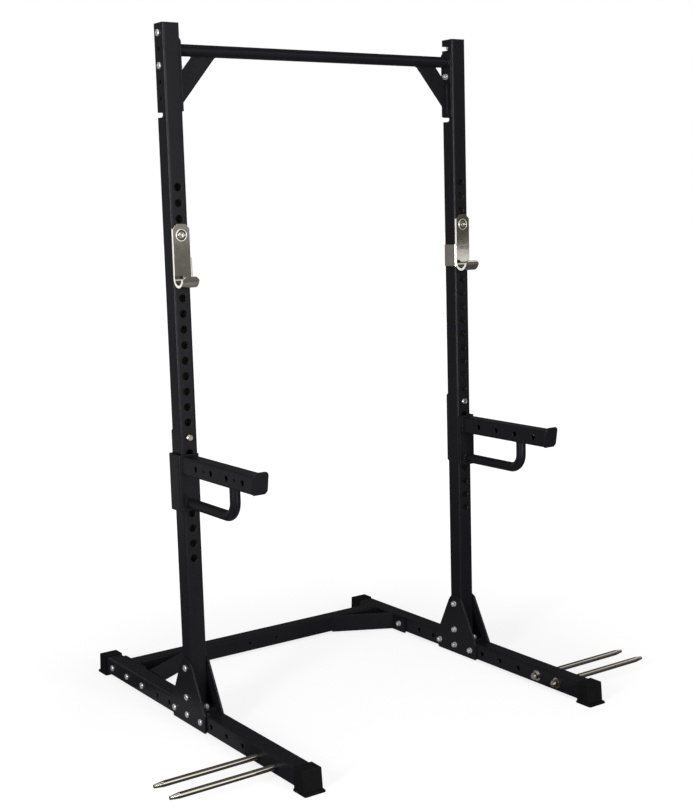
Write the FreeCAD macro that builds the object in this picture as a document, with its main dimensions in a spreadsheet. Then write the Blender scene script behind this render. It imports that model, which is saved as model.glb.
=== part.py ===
"""Squat rack: two uprights on bolted base rails, with a pull-up bar, J-cups, spotter arms and storage rods.

Millimetres. Z is up from the floor, X runs across the rack and -Y is its front. The origin lies on the floor
under the middle of the whole. The rack is the same on both sides, so each right-hand piece is built once and
its left-hand twin is its mirror image.
"""
import FreeCAD, Part
import os
import Sketcher

SIZES = {
    # square tubes of the frame
    "tube_width": 60,
    "tube_wall": 3,
    "tube_corner": 6,
    "rail_length": 1380,
    "rail_spacing": 1150,
    "upright_lead": 24,
    "overall_height": 2280,
    # rubber foot caps
    "cap_sole": 10,
    "cap_wall": 3.5,
    "cap_end_wall": 4,
    "cap_sleeve": 44,
    "cap_slope": 6,
    "cap_flange_width": 74,
    "cap_flange_height": 8,
    "cap_flange_reach": 22,
    "cap_flange_inset": 48,
    "cap_flange_edge": 3,
    "cap_gap": 0.2,
    # feet and caps of the uprights
    "foot_plate": 6,
    "foot_plate_front": 62,
    "foot_bolt_front": 38,
    "top_rim": 3,
    "top_plug_depth": 14,
    "top_plug_wall": 2.5,
    "top_plug_gap": 0.2,
    # round holes in the front and back of each upright
    "hole_diameter": 25,
    "hole_pitch": 50,
    "hole_count": 25,
    "hole_row_drop": 505,
    # side holes and open slots near the top of each upright
    "side_hole_diameter": 13,
    "side_hole_drop": 30,
    "side_hole_pitch": 50,
    "slot_width": 16,
    # side holes of the base rails, measured from the rail's front or rear end
    "rail_hole_diameter": 17,
    "rail_hole_inset": 146,
    "rail_hole_pitch": 100,
    "rail_hole_count": 5,
    "rail_rear_hole_outer": 454,
    "rail_rear_hole_inner": 542,
    # gusset plates
    "gusset_plate": 6,
    "gusset_front": 120,
    "gusset_rear": 102,
    "gusset_drop": 2,
    "gusset_front_shoulder": 26,
    "gusset_rear_shoulder": 35,
    "gusset_height": 194,
    "gusset_top_front": 18,
    "gusset_top_rear": 15,
    "gusset_crop_front": 18,
    "gusset_crop_front_drop": 10,
    "gusset_crop_rear": 17,
    "gusset_crop_rear_drop": 19,
    "gusset_corner": 5,
    "gusset_bolt_reach": 90,
    "gusset_bolt_low": 60,
    "gusset_bolt_high": 160,
    # bolts, nuts and washers
    "bolt_diameter": 10,
    "bolt_hole": 11,
    "bolt_head_diameter": 20,
    "bolt_head_height": 5.5,
    "bolt_head_round": 4.5,
    "bolt_tail": 3,
    "thread_gap": 0.1,
    "nut_flats": 17,
    "nut_height": 9,
    "washer_diameter": 21,
    "washer_thickness": 1.6,
    # rear crossmember and its end plates, measured from the rail's rear end
    "crossmember_inset": 139,
    "crossmember_hole": 10,
    "crossmember_hole_spacing": 120,
    "end_plate": 6,
    "end_plate_inset": 154,
    "end_plate_length": 170,
    "end_plate_bolt_spacing": 120,
    # rear corner braces, measured from the rail's rear end
    "brace_thickness": 8,
    "brace_height": 65,
    "brace_foot_front": 366,
    "brace_foot_rear": 282,
    "brace_bolt_inset": 334,
    "brace_reach": 204,
    "brace_bend": 5,
    # pull-up bar, its end plates and braces
    "bar_diameter": 38,
    "bar_wall": 3,
    "bar_drop": 80,
    "bar_plate": 5,
    "bar_plate_depth": 54,
    "bar_plate_top": 40,
    "bar_plate_bottom": 190,
    "bar_plate_crop": 14,
    "strut_thickness": 8,
    "strut_angle": 50,
    "strut_top_inner": 132,
    "strut_top_outer": 50,
    # storage rods on the base rails
    "rod_diameter": 19,
    "rod_reach": 359,
    "rod_taper": 30,
    "rod_tip": 11,
    "rod_stub_diameter": 16,
    "rod_stub": 23,
    "rod_washer_diameter": 37,
    "rod_washer": 3,
    "rod_nut_flats": 24,
    "rod_nut_height": 14,
    # J-cups, measured from their pin
    "cup_plate": 8,
    "cup_gap": 1,
    "cup_top": 35,
    "cup_crop": 15,
    "cup_drop": 135,
    "cup_opening": 45,
    "cup_lip": 5,
    "cup_lip_crop": 10,
    "cup_flange": 6,
    "cup_flange_depth": 52,
    "cup_flange_top": 72,
    "cup_flange_bottom": 150,
    "cup_flange_bend": 6,
    "cup_pin_diameter": 24,
    "cup_pin_tail": 8,
    "cup_pin_chamfer": 2,
    "cup_ring_diameter": 32,
    "cup_ring": 1.5,
    # spotter arms, measured from the lock pin
    "bracket_plate": 6,
    "bracket_front_gap": 2,
    "bracket_back_gap": 0.5,
    "bracket_edge": 28,
    "bracket_top": 53,
    "bracket_height": 185,
    "bracket_bend": 10,
    "bracket_crop": 15,
    "tab_rise": 32,
    "tab_crop": 12,
    "liner_thickness": 7,
    "liner_gap": 1,
    "liner_inset": 6,
    "arm_width": 50,
    "arm_height": 58,
    "arm_wall": 3,
    "arm_corner": 5,
    "arm_offset": 10,
    "arm_drop": 4,
    "arm_length": 438,
    "arm_lean": 9,
    "arm_hole": 18,
    "arm_small_hole": 11,
    "arm_hole_first": 92,
    "arm_hole_pitch": 97,
    "arm_hole_count": 4,
    "stop_plate": 5,
    "stop_width": 54,
    "stop_rise": 11,
    "stop_corner": 5,
    "handle_diameter": 34,
    "handle_drop": 213,
    "handle_reach": 293,
    "handle_bend": 52,
    "lock_diameter": 24,
    "lock_hole_gap": 0.3,
    "lock_nose": 10,
    "lock_nose_round": 7,
    "lock_head_diameter": 34,
    "lock_head": 8,
    "lock_head_gap": 0.3,
    # how far every cut runs past the face it opens
    "overrun": 2,
}
CUP_HOLE = 3
LOCK_HOLE = 16
SLOT_ROW = 5
SIDE_BOLT_ROWS = (0, 2)
SIDE_FREE_ROWS = (1, 3, 4)
# Two coordinates closer than this are the same one.
NEAR = 1e-6

# Places that many pieces share.
HALF = "(Sizes.tube_width / 2)"
RAIL_X = "(Sizes.rail_spacing / 2)"
OUTER_FACE = "(Sizes.rail_spacing / 2 + Sizes.tube_width / 2)"
INNER_FACE = "(Sizes.rail_spacing / 2 - Sizes.tube_width / 2)"
ROW = "(Sizes.cap_sole + Sizes.tube_width / 2)"
RAIL_TOP = "(Sizes.cap_sole + Sizes.tube_width)"
RAIL_END = "(-Sizes.rail_length / 2)"
REAR_END = "(Sizes.rail_length / 2)"
FRONT = "(-Sizes.upright_lead)"
MIDDLE = "(Sizes.tube_width / 2 - Sizes.upright_lead)"
BASE = "(Sizes.cap_sole + Sizes.tube_width + Sizes.foot_plate)"
TUBE_TOP = "(Sizes.overall_height - Sizes.top_rim)"
HOLE_TOP = "(Sizes.overall_height - Sizes.hole_row_drop)"
SIDE_TOP = "(Sizes.overall_height - Sizes.side_hole_drop)"
BAR_HEIGHT = "(Sizes.overall_height - Sizes.bar_drop)"
CUP_HEIGHT = f"({HOLE_TOP} - {CUP_HOLE} * Sizes.hole_pitch)"
LOCK_HEIGHT = f"({HOLE_TOP} - {LOCK_HOLE} * Sizes.hole_pitch)"
SLOT_HEIGHT = f"({SIDE_TOP} - {SLOT_ROW} * Sizes.side_hole_pitch)"

doc = FreeCAD.newDocument("SquatRack")
pieces = []


def make_sheet():
    """Write every size into a spreadsheet, one alias each."""
    sheet = doc.addObject("Spreadsheet::Sheet", "Sizes")
    for row, (name, number) in enumerate(SIZES.items(), start=1):
        sheet.set(f"A{row}", name)
        sheet.set(f"B{row}", str(number))
        sheet.setAlias(f"B{row}", name)
    doc.recompute()
    return sheet


sizes = make_sheet()


def value(formula):
    """The number that a formula on the sheet gives."""
    return float(sizes.evalExpression(formula))


def bind(thing, **formulas):
    """Tie properties of a document object to formulas on the sheet."""
    for name, formula in formulas.items():
        thing.setExpression(name, formula)


def place(piece, x, y, z):
    """Tie the place of a sub-part to formulas on the sheet."""
    for axis, formula in zip("xyz", (x, y, z)):
        piece.setExpression("Placement.Base." + axis, formula)


def keep(piece, label):
    """Label a sub-part, which is also its file's name, and put it among the pieces."""
    piece.Label = label
    pieces.append(piece)
    return piece


def new_body(label, x="0", y="0", z="0"):
    """A part body whose own origin stands at the given place."""
    body = doc.addObject("PartDesign::Body", label)
    place(body, x, y, z)
    return body


def new_sketch(body, role, offset=None):
    """A sketch on one of the body's own origin planes, moved along the plane's normal by an offset."""
    sketch = body.newObject("Sketcher::SketchObject", body.Name + "_sketch")
    origin_plane = next(item for item in body.Origin.OriginFeatures if item.Role == role)
    sketch.AttachmentSupport = [(origin_plane, "")]
    sketch.MapMode = "FlatFace"
    if offset:
        sketch.setExpression("AttachmentOffset.Base.z", offset)
    return sketch


def fix(sketch, edge, end, x=None, y=None):
    """Dimension a point of the sketch from its origin."""
    for kind, formula in (("DistanceX", x), ("DistanceY", y)):
        if formula is not None:
            number = sketch.addConstraint(Sketcher.Constraint(kind, -1, 1, edge, end, value(formula)))
            sketch.setExpression(f"Constraints[{number}]", formula)


def draw_edge(sketch, start, end, arc):
    """A straight edge, or an arc given by its centre and the signed angle it sweeps."""
    if arc is None:
        return sketch.addGeometry(Part.LineSegment(start, end), False)
    centre = FreeCAD.Vector(value(arc[0]), value(arc[1]), 0)
    half_turn = FreeCAD.Rotation(FreeCAD.Vector(0, 0, 1), arc[2] / 2)
    through = centre + half_turn.multVec(start - centre)
    return sketch.addGeometry(Part.Arc(start, through, end), False)


def end_near(sketch, edge, point):
    """Which end of an edge, 1 or 2, lies at a point."""
    return min((1, 2), key=lambda end: sketch.getPoint(edge, end).distanceToPoint(point))


def outline(sketch, corners, arcs=None, closed=True):
    """A path through corners, each a pair of formulas; arcs start at the corners whose numbers they bear."""
    arcs = arcs or {}
    points = [FreeCAD.Vector(value(x), value(y), 0) for x, y in corners]
    count = len(points) if closed else len(points) - 1
    ends = [points[(number + 1) % len(points)] for number in range(count)]
    edges = [draw_edge(sketch, points[i], ends[i], arcs.get(i)) for i in range(count)]
    for i in range(count):
        here = end_near(sketch, edges[i], points[i])
        fix(sketch, edges[i], here, *corners[i])
        if closed or i > 0:
            before = end_near(sketch, edges[i - 1], points[i])
            sketch.addConstraint(Sketcher.Constraint("Coincident", edges[i - 1], before, edges[i], here))
        if i in arcs:
            chord = ends[i] - points[i]
            centre_x, centre_y = arcs[i][:2]
            if abs(chord.x) > abs(chord.y):
                fix(sketch, edges[i], 3, y=centre_y)
            else:
                fix(sketch, edges[i], 3, x=centre_x)
    if not closed:
        fix(sketch, edges[-1], end_near(sketch, edges[-1], points[-1]), *corners[-1])


def rectangle(sketch, left, right, low, high):
    """A plain rectangle between four formulas."""
    outline(sketch, [(left, low), (right, low), (right, high), (left, high)])


def rounded_rectangle(sketch, wide, high, radius):
    """A rectangle about the sketch's origin with rounded corners."""
    corners = []
    arcs = {}
    for turn, (side, rise) in enumerate(((1, -1), (1, 1), (-1, 1), (-1, -1))):
        across = f"{side} * (({wide}) / 2 - ({radius}))"
        up = f"{rise} * (({high}) / 2 - ({radius}))"
        ends = [(across, f"{rise} * ({high}) / 2"), (f"{side} * ({wide}) / 2", up)]
        corners += ends if side * rise < 0 else ends[::-1]
        arcs[2 * turn] = (across, up, 90)
    outline(sketch, corners, arcs)


def circle(sketch, x, y, diameter):
    """A circle dimensioned by its centre and diameter."""
    centre = FreeCAD.Vector(value(x), value(y), 0)
    axis = FreeCAD.Vector(0, 0, 1)
    edge = sketch.addGeometry(Part.Circle(centre, axis, value(diameter) / 2), False)
    number = sketch.addConstraint(Sketcher.Constraint("Diameter", edge, value(diameter)))
    sketch.setExpression(f"Constraints[{number}]", diameter)
    fix(sketch, edge, 3, x, y)


def hexagon(sketch, flats):
    """A hexagon about the sketch's origin, given by its width across flats."""
    corner = f"({flats}) / sqrt(3)"
    outline(sketch, [(f"{corner} * cos({60 * turn})", f"{corner} * sin({60 * turn})") for turn in range(6)])


def pad(body, sketch, length, both_ways=False, backwards=False):
    """Extrude a sketch along its normal."""
    feature = body.newObject("PartDesign::Pad", body.Name + "_pad")
    feature.Profile = sketch
    feature.SideType = "Symmetric" if both_ways else "One side"
    feature.Reversed = backwards
    bind(feature, Length=length)
    doc.recompute()
    return feature


def cut(body, sketch, length=None, both_ways=False, backwards=False):
    """Cut a sketch out of the body, right through unless a length is given, and see that material went."""
    before = body.Shape.Volume
    feature = body.newObject("PartDesign::Pocket", body.Name + "_cut")
    feature.Profile = sketch
    feature.SideType = "Symmetric" if both_ways else "One side"
    feature.Reversed = backwards
    if length:
        bind(feature, Length=length)
    else:
        feature.Type = "ThroughAll"
    doc.recompute()
    if not feature.Shape.Volume < before:
        raise ValueError(body.Name + ": a cut took nothing away")
    return feature


def turned(body, sketch, axis):
    """Revolve a sketch about one of the body's own axes."""
    feature = body.newObject("PartDesign::Revolution", body.Name + "_turned")
    feature.Profile = sketch
    feature.ReferenceAxis = (next(item for item in body.Origin.OriginFeatures if item.Role == axis), [""])
    doc.recompute()
    return feature


def dress(body, kind, picked, **formulas):
    """Fillet or chamfer the edges of the body's tip that a test picks."""
    base = body.Tip
    names = [f"Edge{i}" for i, edge in enumerate(base.Shape.Edges, start=1) if picked(edge)]
    if not names:
        raise ValueError(body.Name + ": no edge to dress")
    feature = body.newObject("PartDesign::" + kind, body.Name + "_" + kind.lower())
    feature.Base = (base, names)
    bind(feature, **formulas)
    doc.recompute()
    return feature


def along(edge, direction):
    """Whether a straight edge runs along X, Y or Z."""
    box = edge.BoundBox
    spans = {"X": box.XLength, "Y": box.YLength, "Z": box.ZLength}
    straight = edge.Curve.TypeId == "Part::GeomLine"
    return straight and all((span > NEAR) == (name == direction) for name, span in spans.items())


def at(number, formula):
    """Whether a coordinate is the one that a formula gives."""
    return abs(number - value(formula)) < NEAR


def tube(label, role, length, wide, high, wall, corner, x, y, z, both_ways=True):
    """A rectangular tube along the normal of one of its own planes."""
    body = new_body(label, x, y, z)
    section = new_sketch(body, role)
    rounded_rectangle(section, wide, high, corner)
    rounded_rectangle(section, f"{wide} - 2 * {wall}", f"{high} - 2 * {wall}", f"{corner} - {wall}")
    pad(body, section, length, both_ways)
    return body


def mirrored(label, source, normal):
    """The mirror image of a piece across the middle of the rack."""
    image = doc.addObject("Part::Mirroring", label)
    image.Source = source
    image.Normal = normal
    return keep(image, label)


def group(label, master, spots):
    """One node of equal pieces: the master at each spot, turned about Y."""
    copies = []
    for number, (x, y, z, turn) in enumerate(spots, start=1):
        copy = doc.addObject("App::Link", f"{label}_{number}")
        copy.LinkedObject = master
        copy.Placement = FreeCAD.Placement(FreeCAD.Vector(), FreeCAD.Rotation(FreeCAD.Vector(0, 1, 0), turn))
        place(copy, x, y, z)
        copies.append(copy)
    together = doc.addObject("Part::Compound", label)
    together.Links = copies
    return keep(together, label)


def both_sides(face, spots):
    """Spots on both sides of the rack: a distance from its middle, with pairs of Y and Z, pointing inwards."""
    return [(f"{side} * ({face})", y, z, -90 * side) for side in (1, -1) for y, z in spots]


# Base rails, their end caps and the storage rods

GUSSET_RAIL_SPOTS = [(f"{MIDDLE} + {step} * Sizes.gusset_bolt_reach", ROW) for step in (1, 0, -1)]
GUSSET_POST_SPOTS = [(MIDDLE, f"{ROW} + Sizes.gusset_bolt_low"), (MIDDLE, f"{ROW} + Sizes.gusset_bolt_high")]
END_PLATE_Y = f"({REAR_END} - Sizes.end_plate_inset)"
CROSS_SPOTS = [(f"{END_PLATE_Y} + {step} * Sizes.end_plate_bolt_spacing / 2", ROW) for step in (1, -1)]
BRACE_SPOTS = [(f"{REAR_END} - Sizes.brace_bolt_inset", ROW)]


def rail_hole_y(number):
    """Place of one of the evenly spaced holes ahead of the upright, counted from the front."""
    return f"{RAIL_END} + Sizes.rail_hole_inset + {number} * Sizes.rail_hole_pitch"


ROD_SPOTS = [(rail_hole_y(number), ROW) for number in (0, 1)]


def base_rail():
    """Square tube on the floor side to side holes for bolts and rods, and one upright bolt hole."""
    body = tube("base_rail_right", "XZ_Plane", "Sizes.rail_length", "Sizes.tube_width", "Sizes.tube_width",
                "Sizes.tube_wall", "Sizes.tube_corner", RAIL_X, "0", ROW)
    holes = new_sketch(body, "YZ_Plane")
    for y, z in GUSSET_RAIL_SPOTS + CROSS_SPOTS + BRACE_SPOTS:
        circle(holes, y, "0", "Sizes.bolt_hole")
    for number in range(int(SIZES["rail_hole_count"])):
        circle(holes, rail_hole_y(number), "0", "Sizes.rail_hole_diameter")
    for inset in ("Sizes.rail_rear_hole_outer", "Sizes.rail_rear_hole_inner"):
        circle(holes, f"{REAR_END} - {inset}", "0", "Sizes.rail_hole_diameter")
    cut(body, holes, both_ways=True)
    upright_hole = new_sketch(body, "XY_Plane")
    circle(upright_hole, "0", f"{FRONT} - Sizes.foot_bolt_front", "Sizes.bolt_hole")
    cut(body, upright_hole, both_ways=True)
    return keep(body, "base_rail_right")


def foot_cap():
    """Rubber sleeve over the rail's end, with a wider sole that reaches ahead of it."""
    body = new_body("foot_cap_front_right", RAIL_X, RAIL_END, "0")
    sole = new_sketch(body, "XY_Plane")
    rectangle(sole, "-Sizes.cap_flange_width / 2", "Sizes.cap_flange_width / 2",
              "-Sizes.cap_flange_reach", "Sizes.cap_flange_inset")
    pad(body, sole, "Sizes.cap_flange_height")
    dress(body, "Fillet", lambda edge: along(edge, "Z"), Radius="Sizes.tube_corner")
    dress(body, "Chamfer", lambda edge: at(edge.BoundBox.ZMin, "Sizes.cap_flange_height"),
          Size="Sizes.cap_flange_edge")
    side = new_sketch(body, "YZ_Plane")
    top = f"{RAIL_TOP} + Sizes.cap_wall"
    outline(side, [("-Sizes.cap_end_wall - Sizes.cap_slope", "0"), ("Sizes.cap_sleeve", "0"),
                   ("Sizes.cap_sleeve", top), ("-Sizes.cap_end_wall", top)])
    pad(body, side, "Sizes.tube_width + 2 * Sizes.cap_wall", both_ways=True)
    dress(body, "Fillet", lambda edge: at(edge.BoundBox.ZMin, top) and at(edge.BoundBox.ZMax, top)
          and not at(edge.BoundBox.YMin, "Sizes.cap_sleeve"), Radius="Sizes.cap_wall")
    socket = new_sketch(body, "XZ_Plane")
    rectangle(socket, f"-{HALF} - Sizes.cap_gap", f"{HALF} + Sizes.cap_gap",
              "Sizes.cap_sole", f"{RAIL_TOP} + Sizes.cap_gap")
    cut(body, socket)
    return keep(body, "foot_cap_front_right")


def storage_rod():
    """Bright rod with a tapered tip, and a thinner threaded stub that crosses the rail."""
    rod = new_body("storage_rod")
    half = new_sketch(rod, "XZ_Plane")
    outline(half, [("0", "-Sizes.rod_reach"), ("Sizes.rod_tip / 2", "-Sizes.rod_reach"),
                   ("Sizes.rod_diameter / 2", "-Sizes.rod_reach + Sizes.rod_taper"),
                   ("Sizes.rod_diameter / 2", "0"), ("Sizes.rod_stub_diameter / 2", "0"),
                   ("Sizes.rod_stub_diameter / 2", "Sizes.tube_width + Sizes.rod_stub"),
                   ("0", "Sizes.tube_width + Sizes.rod_stub")])
    turned(rod, half, "Z_Axis")
    return rod


def storage_rods():
    """Two rods on each rail, each held by a washer and a nut on the rail's inner face."""
    rod = storage_rod()
    for side, name in ((1, "right"), (-1, "left")):
        spots = [spot for spot in both_sides(OUTER_FACE, ROD_SPOTS) if spot[3] == -90 * side]
        group("storage_rods_" + name, rod, spots)
    washer = ring("rod_washer", "Sizes.rod_washer_diameter", "Sizes.rod_stub_diameter", "Sizes.rod_washer")
    nut = hex_nut("rod_nut", "Sizes.rod_nut_flats", "Sizes.rod_stub_diameter", "Sizes.rod_nut_height")
    group("rod_washers", washer, both_sides(INNER_FACE, ROD_SPOTS))
    group("rod_nuts", nut, both_sides(f"{INNER_FACE} - Sizes.rod_washer", ROD_SPOTS))


# Bolts, nuts and washers, each pointing up its own Z axis from the face it sits on

def ring(name, diameter, inside, thickness):
    """Flat washer."""
    body = new_body(name)
    sketch = new_sketch(body, "XY_Plane")
    circle(sketch, "0", "0", diameter)
    circle(sketch, "0", "0", f"{inside} + 2 * Sizes.thread_gap")
    pad(body, sketch, thickness)
    return body


def hex_nut(name, flats, inside, height):
    """Hexagon nut."""
    body = new_body(name)
    sketch = new_sketch(body, "XY_Plane")
    hexagon(sketch, flats)
    circle(sketch, "0", "0", f"{inside} + 2 * Sizes.thread_gap")
    pad(body, sketch, height)
    return body


def bolt(name, grip):
    """Round-headed bolt: the head lies below the face and the shank crosses the grip, washer and nut."""
    body = new_body(name)
    length = f"{grip} + Sizes.nut_height + Sizes.bolt_tail"
    half = new_sketch(body, "XZ_Plane")
    outline(half, [("0", "-Sizes.bolt_head_height"), ("Sizes.bolt_head_diameter / 2", "-Sizes.bolt_head_height"),
                   ("Sizes.bolt_head_diameter / 2", "0"), ("Sizes.bolt_diameter / 2", "0"),
                   ("Sizes.bolt_diameter / 2", length), ("0", length)])
    turned(body, half, "Z_Axis")
    dress(body, "Fillet", lambda edge: at(edge.BoundBox.ZMin, "-Sizes.bolt_head_height")
          and at(edge.BoundBox.ZMax, "-Sizes.bolt_head_height"), Radius="Sizes.bolt_head_round")
    return body


def fasteners():
    """Every bolt with its washer and nut, grouped by what they hold."""
    nut = hex_nut("frame_nut", "Sizes.nut_flats", "Sizes.bolt_diameter", "Sizes.nut_height")
    washer = ring("frame_washer", "Sizes.washer_diameter", "Sizes.bolt_diameter", "Sizes.washer_thickness")
    stacks = {
        "gusset": (GUSSET_RAIL_SPOTS + GUSSET_POST_SPOTS, "Sizes.gusset_plate", "Sizes.gusset_plate"),
        "crossmember": (CROSS_SPOTS, "0", "Sizes.end_plate"),
        "rear_brace": (BRACE_SPOTS, "0", "Sizes.brace_thickness"),
        "pull_up": ([(MIDDLE, SIDE_BOLT_HEIGHT)], "0", "Sizes.bar_plate"),
    }
    washers = []
    for name, (spots, outside, inside) in stacks.items():
        shank = bolt(name + "_bolt", f"{outside} + Sizes.tube_width + {inside} + Sizes.washer_thickness")
        under_head = both_sides(f"{OUTER_FACE} + {outside}", spots)
        group(name + "_bolts", shank, under_head)
        washers += both_sides(f"{INNER_FACE} - {inside}", spots)
        group(name + "_nuts", nut, both_sides(f"{INNER_FACE} - {inside} - Sizes.washer_thickness", spots))
    group("flat_washers", washer, washers)
    top_bolt = bolt("hanger_bolt", "Sizes.tube_width - Sizes.nut_height - Sizes.bolt_tail")
    group("hanger_bolts", top_bolt, both_sides(OUTER_FACE, [(MIDDLE, SIDE_TOP)]))
    inside_face = f"{OUTER_FACE} - Sizes.tube_wall"
    group("hanger_nuts", nut, both_sides(inside_face, [(MIDDLE, SIDE_TOP)]))
    foot_bolt = bolt("foot_bolt", "Sizes.tube_width + Sizes.foot_plate")
    foot_y = f"{FRONT} - Sizes.foot_bolt_front"
    group("foot_plate_bolts", foot_bolt,
          [(f"{side} * {RAIL_X}", foot_y, "Sizes.cap_sole", 0) for side in (1, -1)])
    group("foot_plate_nuts", nut, [(f"{side} * {RAIL_X}", foot_y, BASE, 0) for side in (1, -1)])


# Uprights and what stands or bolts on them

SIDE_BOLT_HEIGHT = f"{SIDE_TOP} - {SIDE_BOLT_ROWS[1]} * Sizes.side_hole_pitch"


def open_slot(sketch, height):
    """A slot that ends round on the upright's middle line and runs out through its back."""
    low = f"{height} - Sizes.slot_width / 2"
    high = f"{height} + Sizes.slot_width / 2"
    back = f"{HALF} + Sizes.overrun"
    outline(sketch, [("0", high), ("0", low), (back, low), (back, high)], {0: ("0", height, 180)})


def upright():
    """Square tube with the row of pin holes, the side holes and the open slots for the pull-up bar."""
    body = new_body("upright_right", RAIL_X, MIDDLE, BASE)
    section = new_sketch(body, "XY_Plane")
    rounded_rectangle(section, "Sizes.tube_width", "Sizes.tube_width", "Sizes.tube_corner")
    inside = "Sizes.tube_width - 2 * Sizes.tube_wall"
    rounded_rectangle(section, inside, inside, "Sizes.tube_corner - Sizes.tube_wall")
    pad(body, section, f"{TUBE_TOP} - {BASE}")
    pin_hole = new_sketch(body, "XZ_Plane")
    circle(pin_hole, "0", f"{HOLE_TOP} - {BASE}", "Sizes.hole_diameter")
    first = cut(body, pin_hole, both_ways=True)
    row = body.newObject("PartDesign::LinearPattern", "pin_hole_row")
    row.Originals = [first]
    row.Direction = (pin_hole, ["V_Axis"])
    row.Reversed = True
    bind(row, Length="Sizes.hole_pitch * (Sizes.hole_count - 1)", Occurrences="Sizes.hole_count")
    body.Tip = row
    doc.recompute()
    sides = new_sketch(body, "YZ_Plane")
    for number in SIDE_FREE_ROWS:
        height = f"{SIDE_TOP} - {number} * Sizes.side_hole_pitch - {BASE}"
        circle(sides, "0", height, "Sizes.side_hole_diameter")
    for y, height in GUSSET_POST_SPOTS + [(MIDDLE, SIDE_BOLT_HEIGHT)]:
        circle(sides, "0", f"{height} - {BASE}", "Sizes.bolt_hole")
    open_slot(sides, f"({SLOT_HEIGHT} - {BASE})")
    cut(body, sides, both_ways=True)
    top_hole = new_sketch(body, "YZ_Plane")
    circle(top_hole, "0", f"{SIDE_TOP} - {BASE}", "Sizes.bolt_hole")
    cut(body, top_hole, backwards=True)
    top_slot = new_sketch(body, "YZ_Plane", f"{HALF} - Sizes.tube_wall")
    open_slot(top_slot, f"({SIDE_TOP} - {BASE})")
    cut(body, top_slot)
    return keep(body, "upright_right")


def upright_foot_plate():
    """Flat plate between rail and upright, with a front tab for the upright bolt."""
    body = new_body("upright_foot_plate_right", RAIL_X, FRONT, RAIL_TOP)
    sketch = new_sketch(body, "XY_Plane")
    rectangle(sketch, f"-{HALF}", HALF, "-Sizes.foot_plate_front", "Sizes.tube_width")
    circle(sketch, "0", "-Sizes.foot_bolt_front", "Sizes.bolt_hole")
    pad(body, sketch, "Sizes.foot_plate")
    dress(body, "Fillet", lambda edge: along(edge, "Z") and at(edge.BoundBox.YMin, "-Sizes.foot_plate_front"),
          Radius="Sizes.gusset_corner")
    return keep(body, "upright_foot_plate_right")


def upright_top_cap():
    """Plastic plug: a rim over the tube's end and a hollow skirt inside it."""
    body = new_body("upright_top_cap_right", RAIL_X, MIDDLE, TUBE_TOP)
    rim = new_sketch(body, "XY_Plane")
    rounded_rectangle(rim, "Sizes.tube_width", "Sizes.tube_width", "Sizes.tube_corner")
    pad(body, rim, "Sizes.top_rim")
    skirt = new_sketch(body, "XY_Plane")
    outside = "Sizes.tube_width - 2 * Sizes.tube_wall - 2 * Sizes.top_plug_gap"
    corner = "Sizes.tube_corner - Sizes.tube_wall"
    rounded_rectangle(skirt, outside, outside, corner)
    rounded_rectangle(skirt, f"{outside} - 2 * Sizes.top_plug_wall", f"{outside} - 2 * Sizes.top_plug_wall",
                      f"({corner}) / 2")
    pad(body, skirt, "Sizes.top_plug_depth", backwards=True)
    return keep(body, "upright_top_cap_right")


def gusset_plate(label, x):
    """Triangular plate bolted to upright and rail, its corners cropped and rounded."""
    body = new_body(label, x, MIDDLE, ROW)
    sketch = new_sketch(body, "YZ_Plane")
    low = f"-{HALF} - Sizes.gusset_drop"
    outline(sketch, [
        ("Sizes.gusset_rear", low), ("Sizes.gusset_rear", "Sizes.gusset_rear_shoulder"),
        ("Sizes.gusset_top_rear + Sizes.gusset_crop_rear", "Sizes.gusset_height - Sizes.gusset_crop_rear_drop"),
        ("Sizes.gusset_top_rear", "Sizes.gusset_height"), ("-Sizes.gusset_top_front", "Sizes.gusset_height"),
        ("-Sizes.gusset_top_front - Sizes.gusset_crop_front",
         "Sizes.gusset_height - Sizes.gusset_crop_front_drop"),
        ("-Sizes.gusset_front", "Sizes.gusset_front_shoulder"), ("-Sizes.gusset_front", low)])
    for y, z in GUSSET_RAIL_SPOTS + GUSSET_POST_SPOTS:
        circle(sketch, f"{y} - {MIDDLE}", f"{z} - {ROW}", "Sizes.bolt_hole")
    pad(body, sketch, "Sizes.gusset_plate")
    dress(body, "Fillet", lambda edge: along(edge, "X"), Radius="Sizes.gusset_corner")
    return keep(body, label)


# Rear crossmember

def crossmember():
    """Square tube between the rails, ending on its two flat plates."""
    back = f"{REAR_END} - Sizes.crossmember_inset"
    length = f"2 * ({INNER_FACE} - Sizes.end_plate)"
    body = tube("rear_crossmember", "YZ_Plane", length, "Sizes.tube_width", "Sizes.tube_width",
                "Sizes.tube_wall", "Sizes.tube_corner", "0", back, ROW)
    holes = new_sketch(body, "XZ_Plane")
    for side in (1, -1):
        circle(holes, f"{side} * Sizes.crossmember_hole_spacing / 2", "0", "Sizes.crossmember_hole")
    cut(body, holes, both_ways=True)
    return keep(body, "rear_crossmember")


def crossmember_end_plate():
    """Plate on the crossmember's end, bolted to the rail's inner face."""
    body = new_body("crossmember_end_plate_right", f"{INNER_FACE} - Sizes.end_plate", END_PLATE_Y, ROW)
    sketch = new_sketch(body, "YZ_Plane")
    rounded_rectangle(sketch, "Sizes.end_plate_length", "Sizes.tube_width", "Sizes.gusset_corner")
    for side in (1, -1):
        circle(sketch, f"{side} * Sizes.end_plate_bolt_spacing / 2", "0", "Sizes.bolt_hole")
    pad(body, sketch, "Sizes.end_plate")
    return keep(body, "crossmember_end_plate_right")


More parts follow.
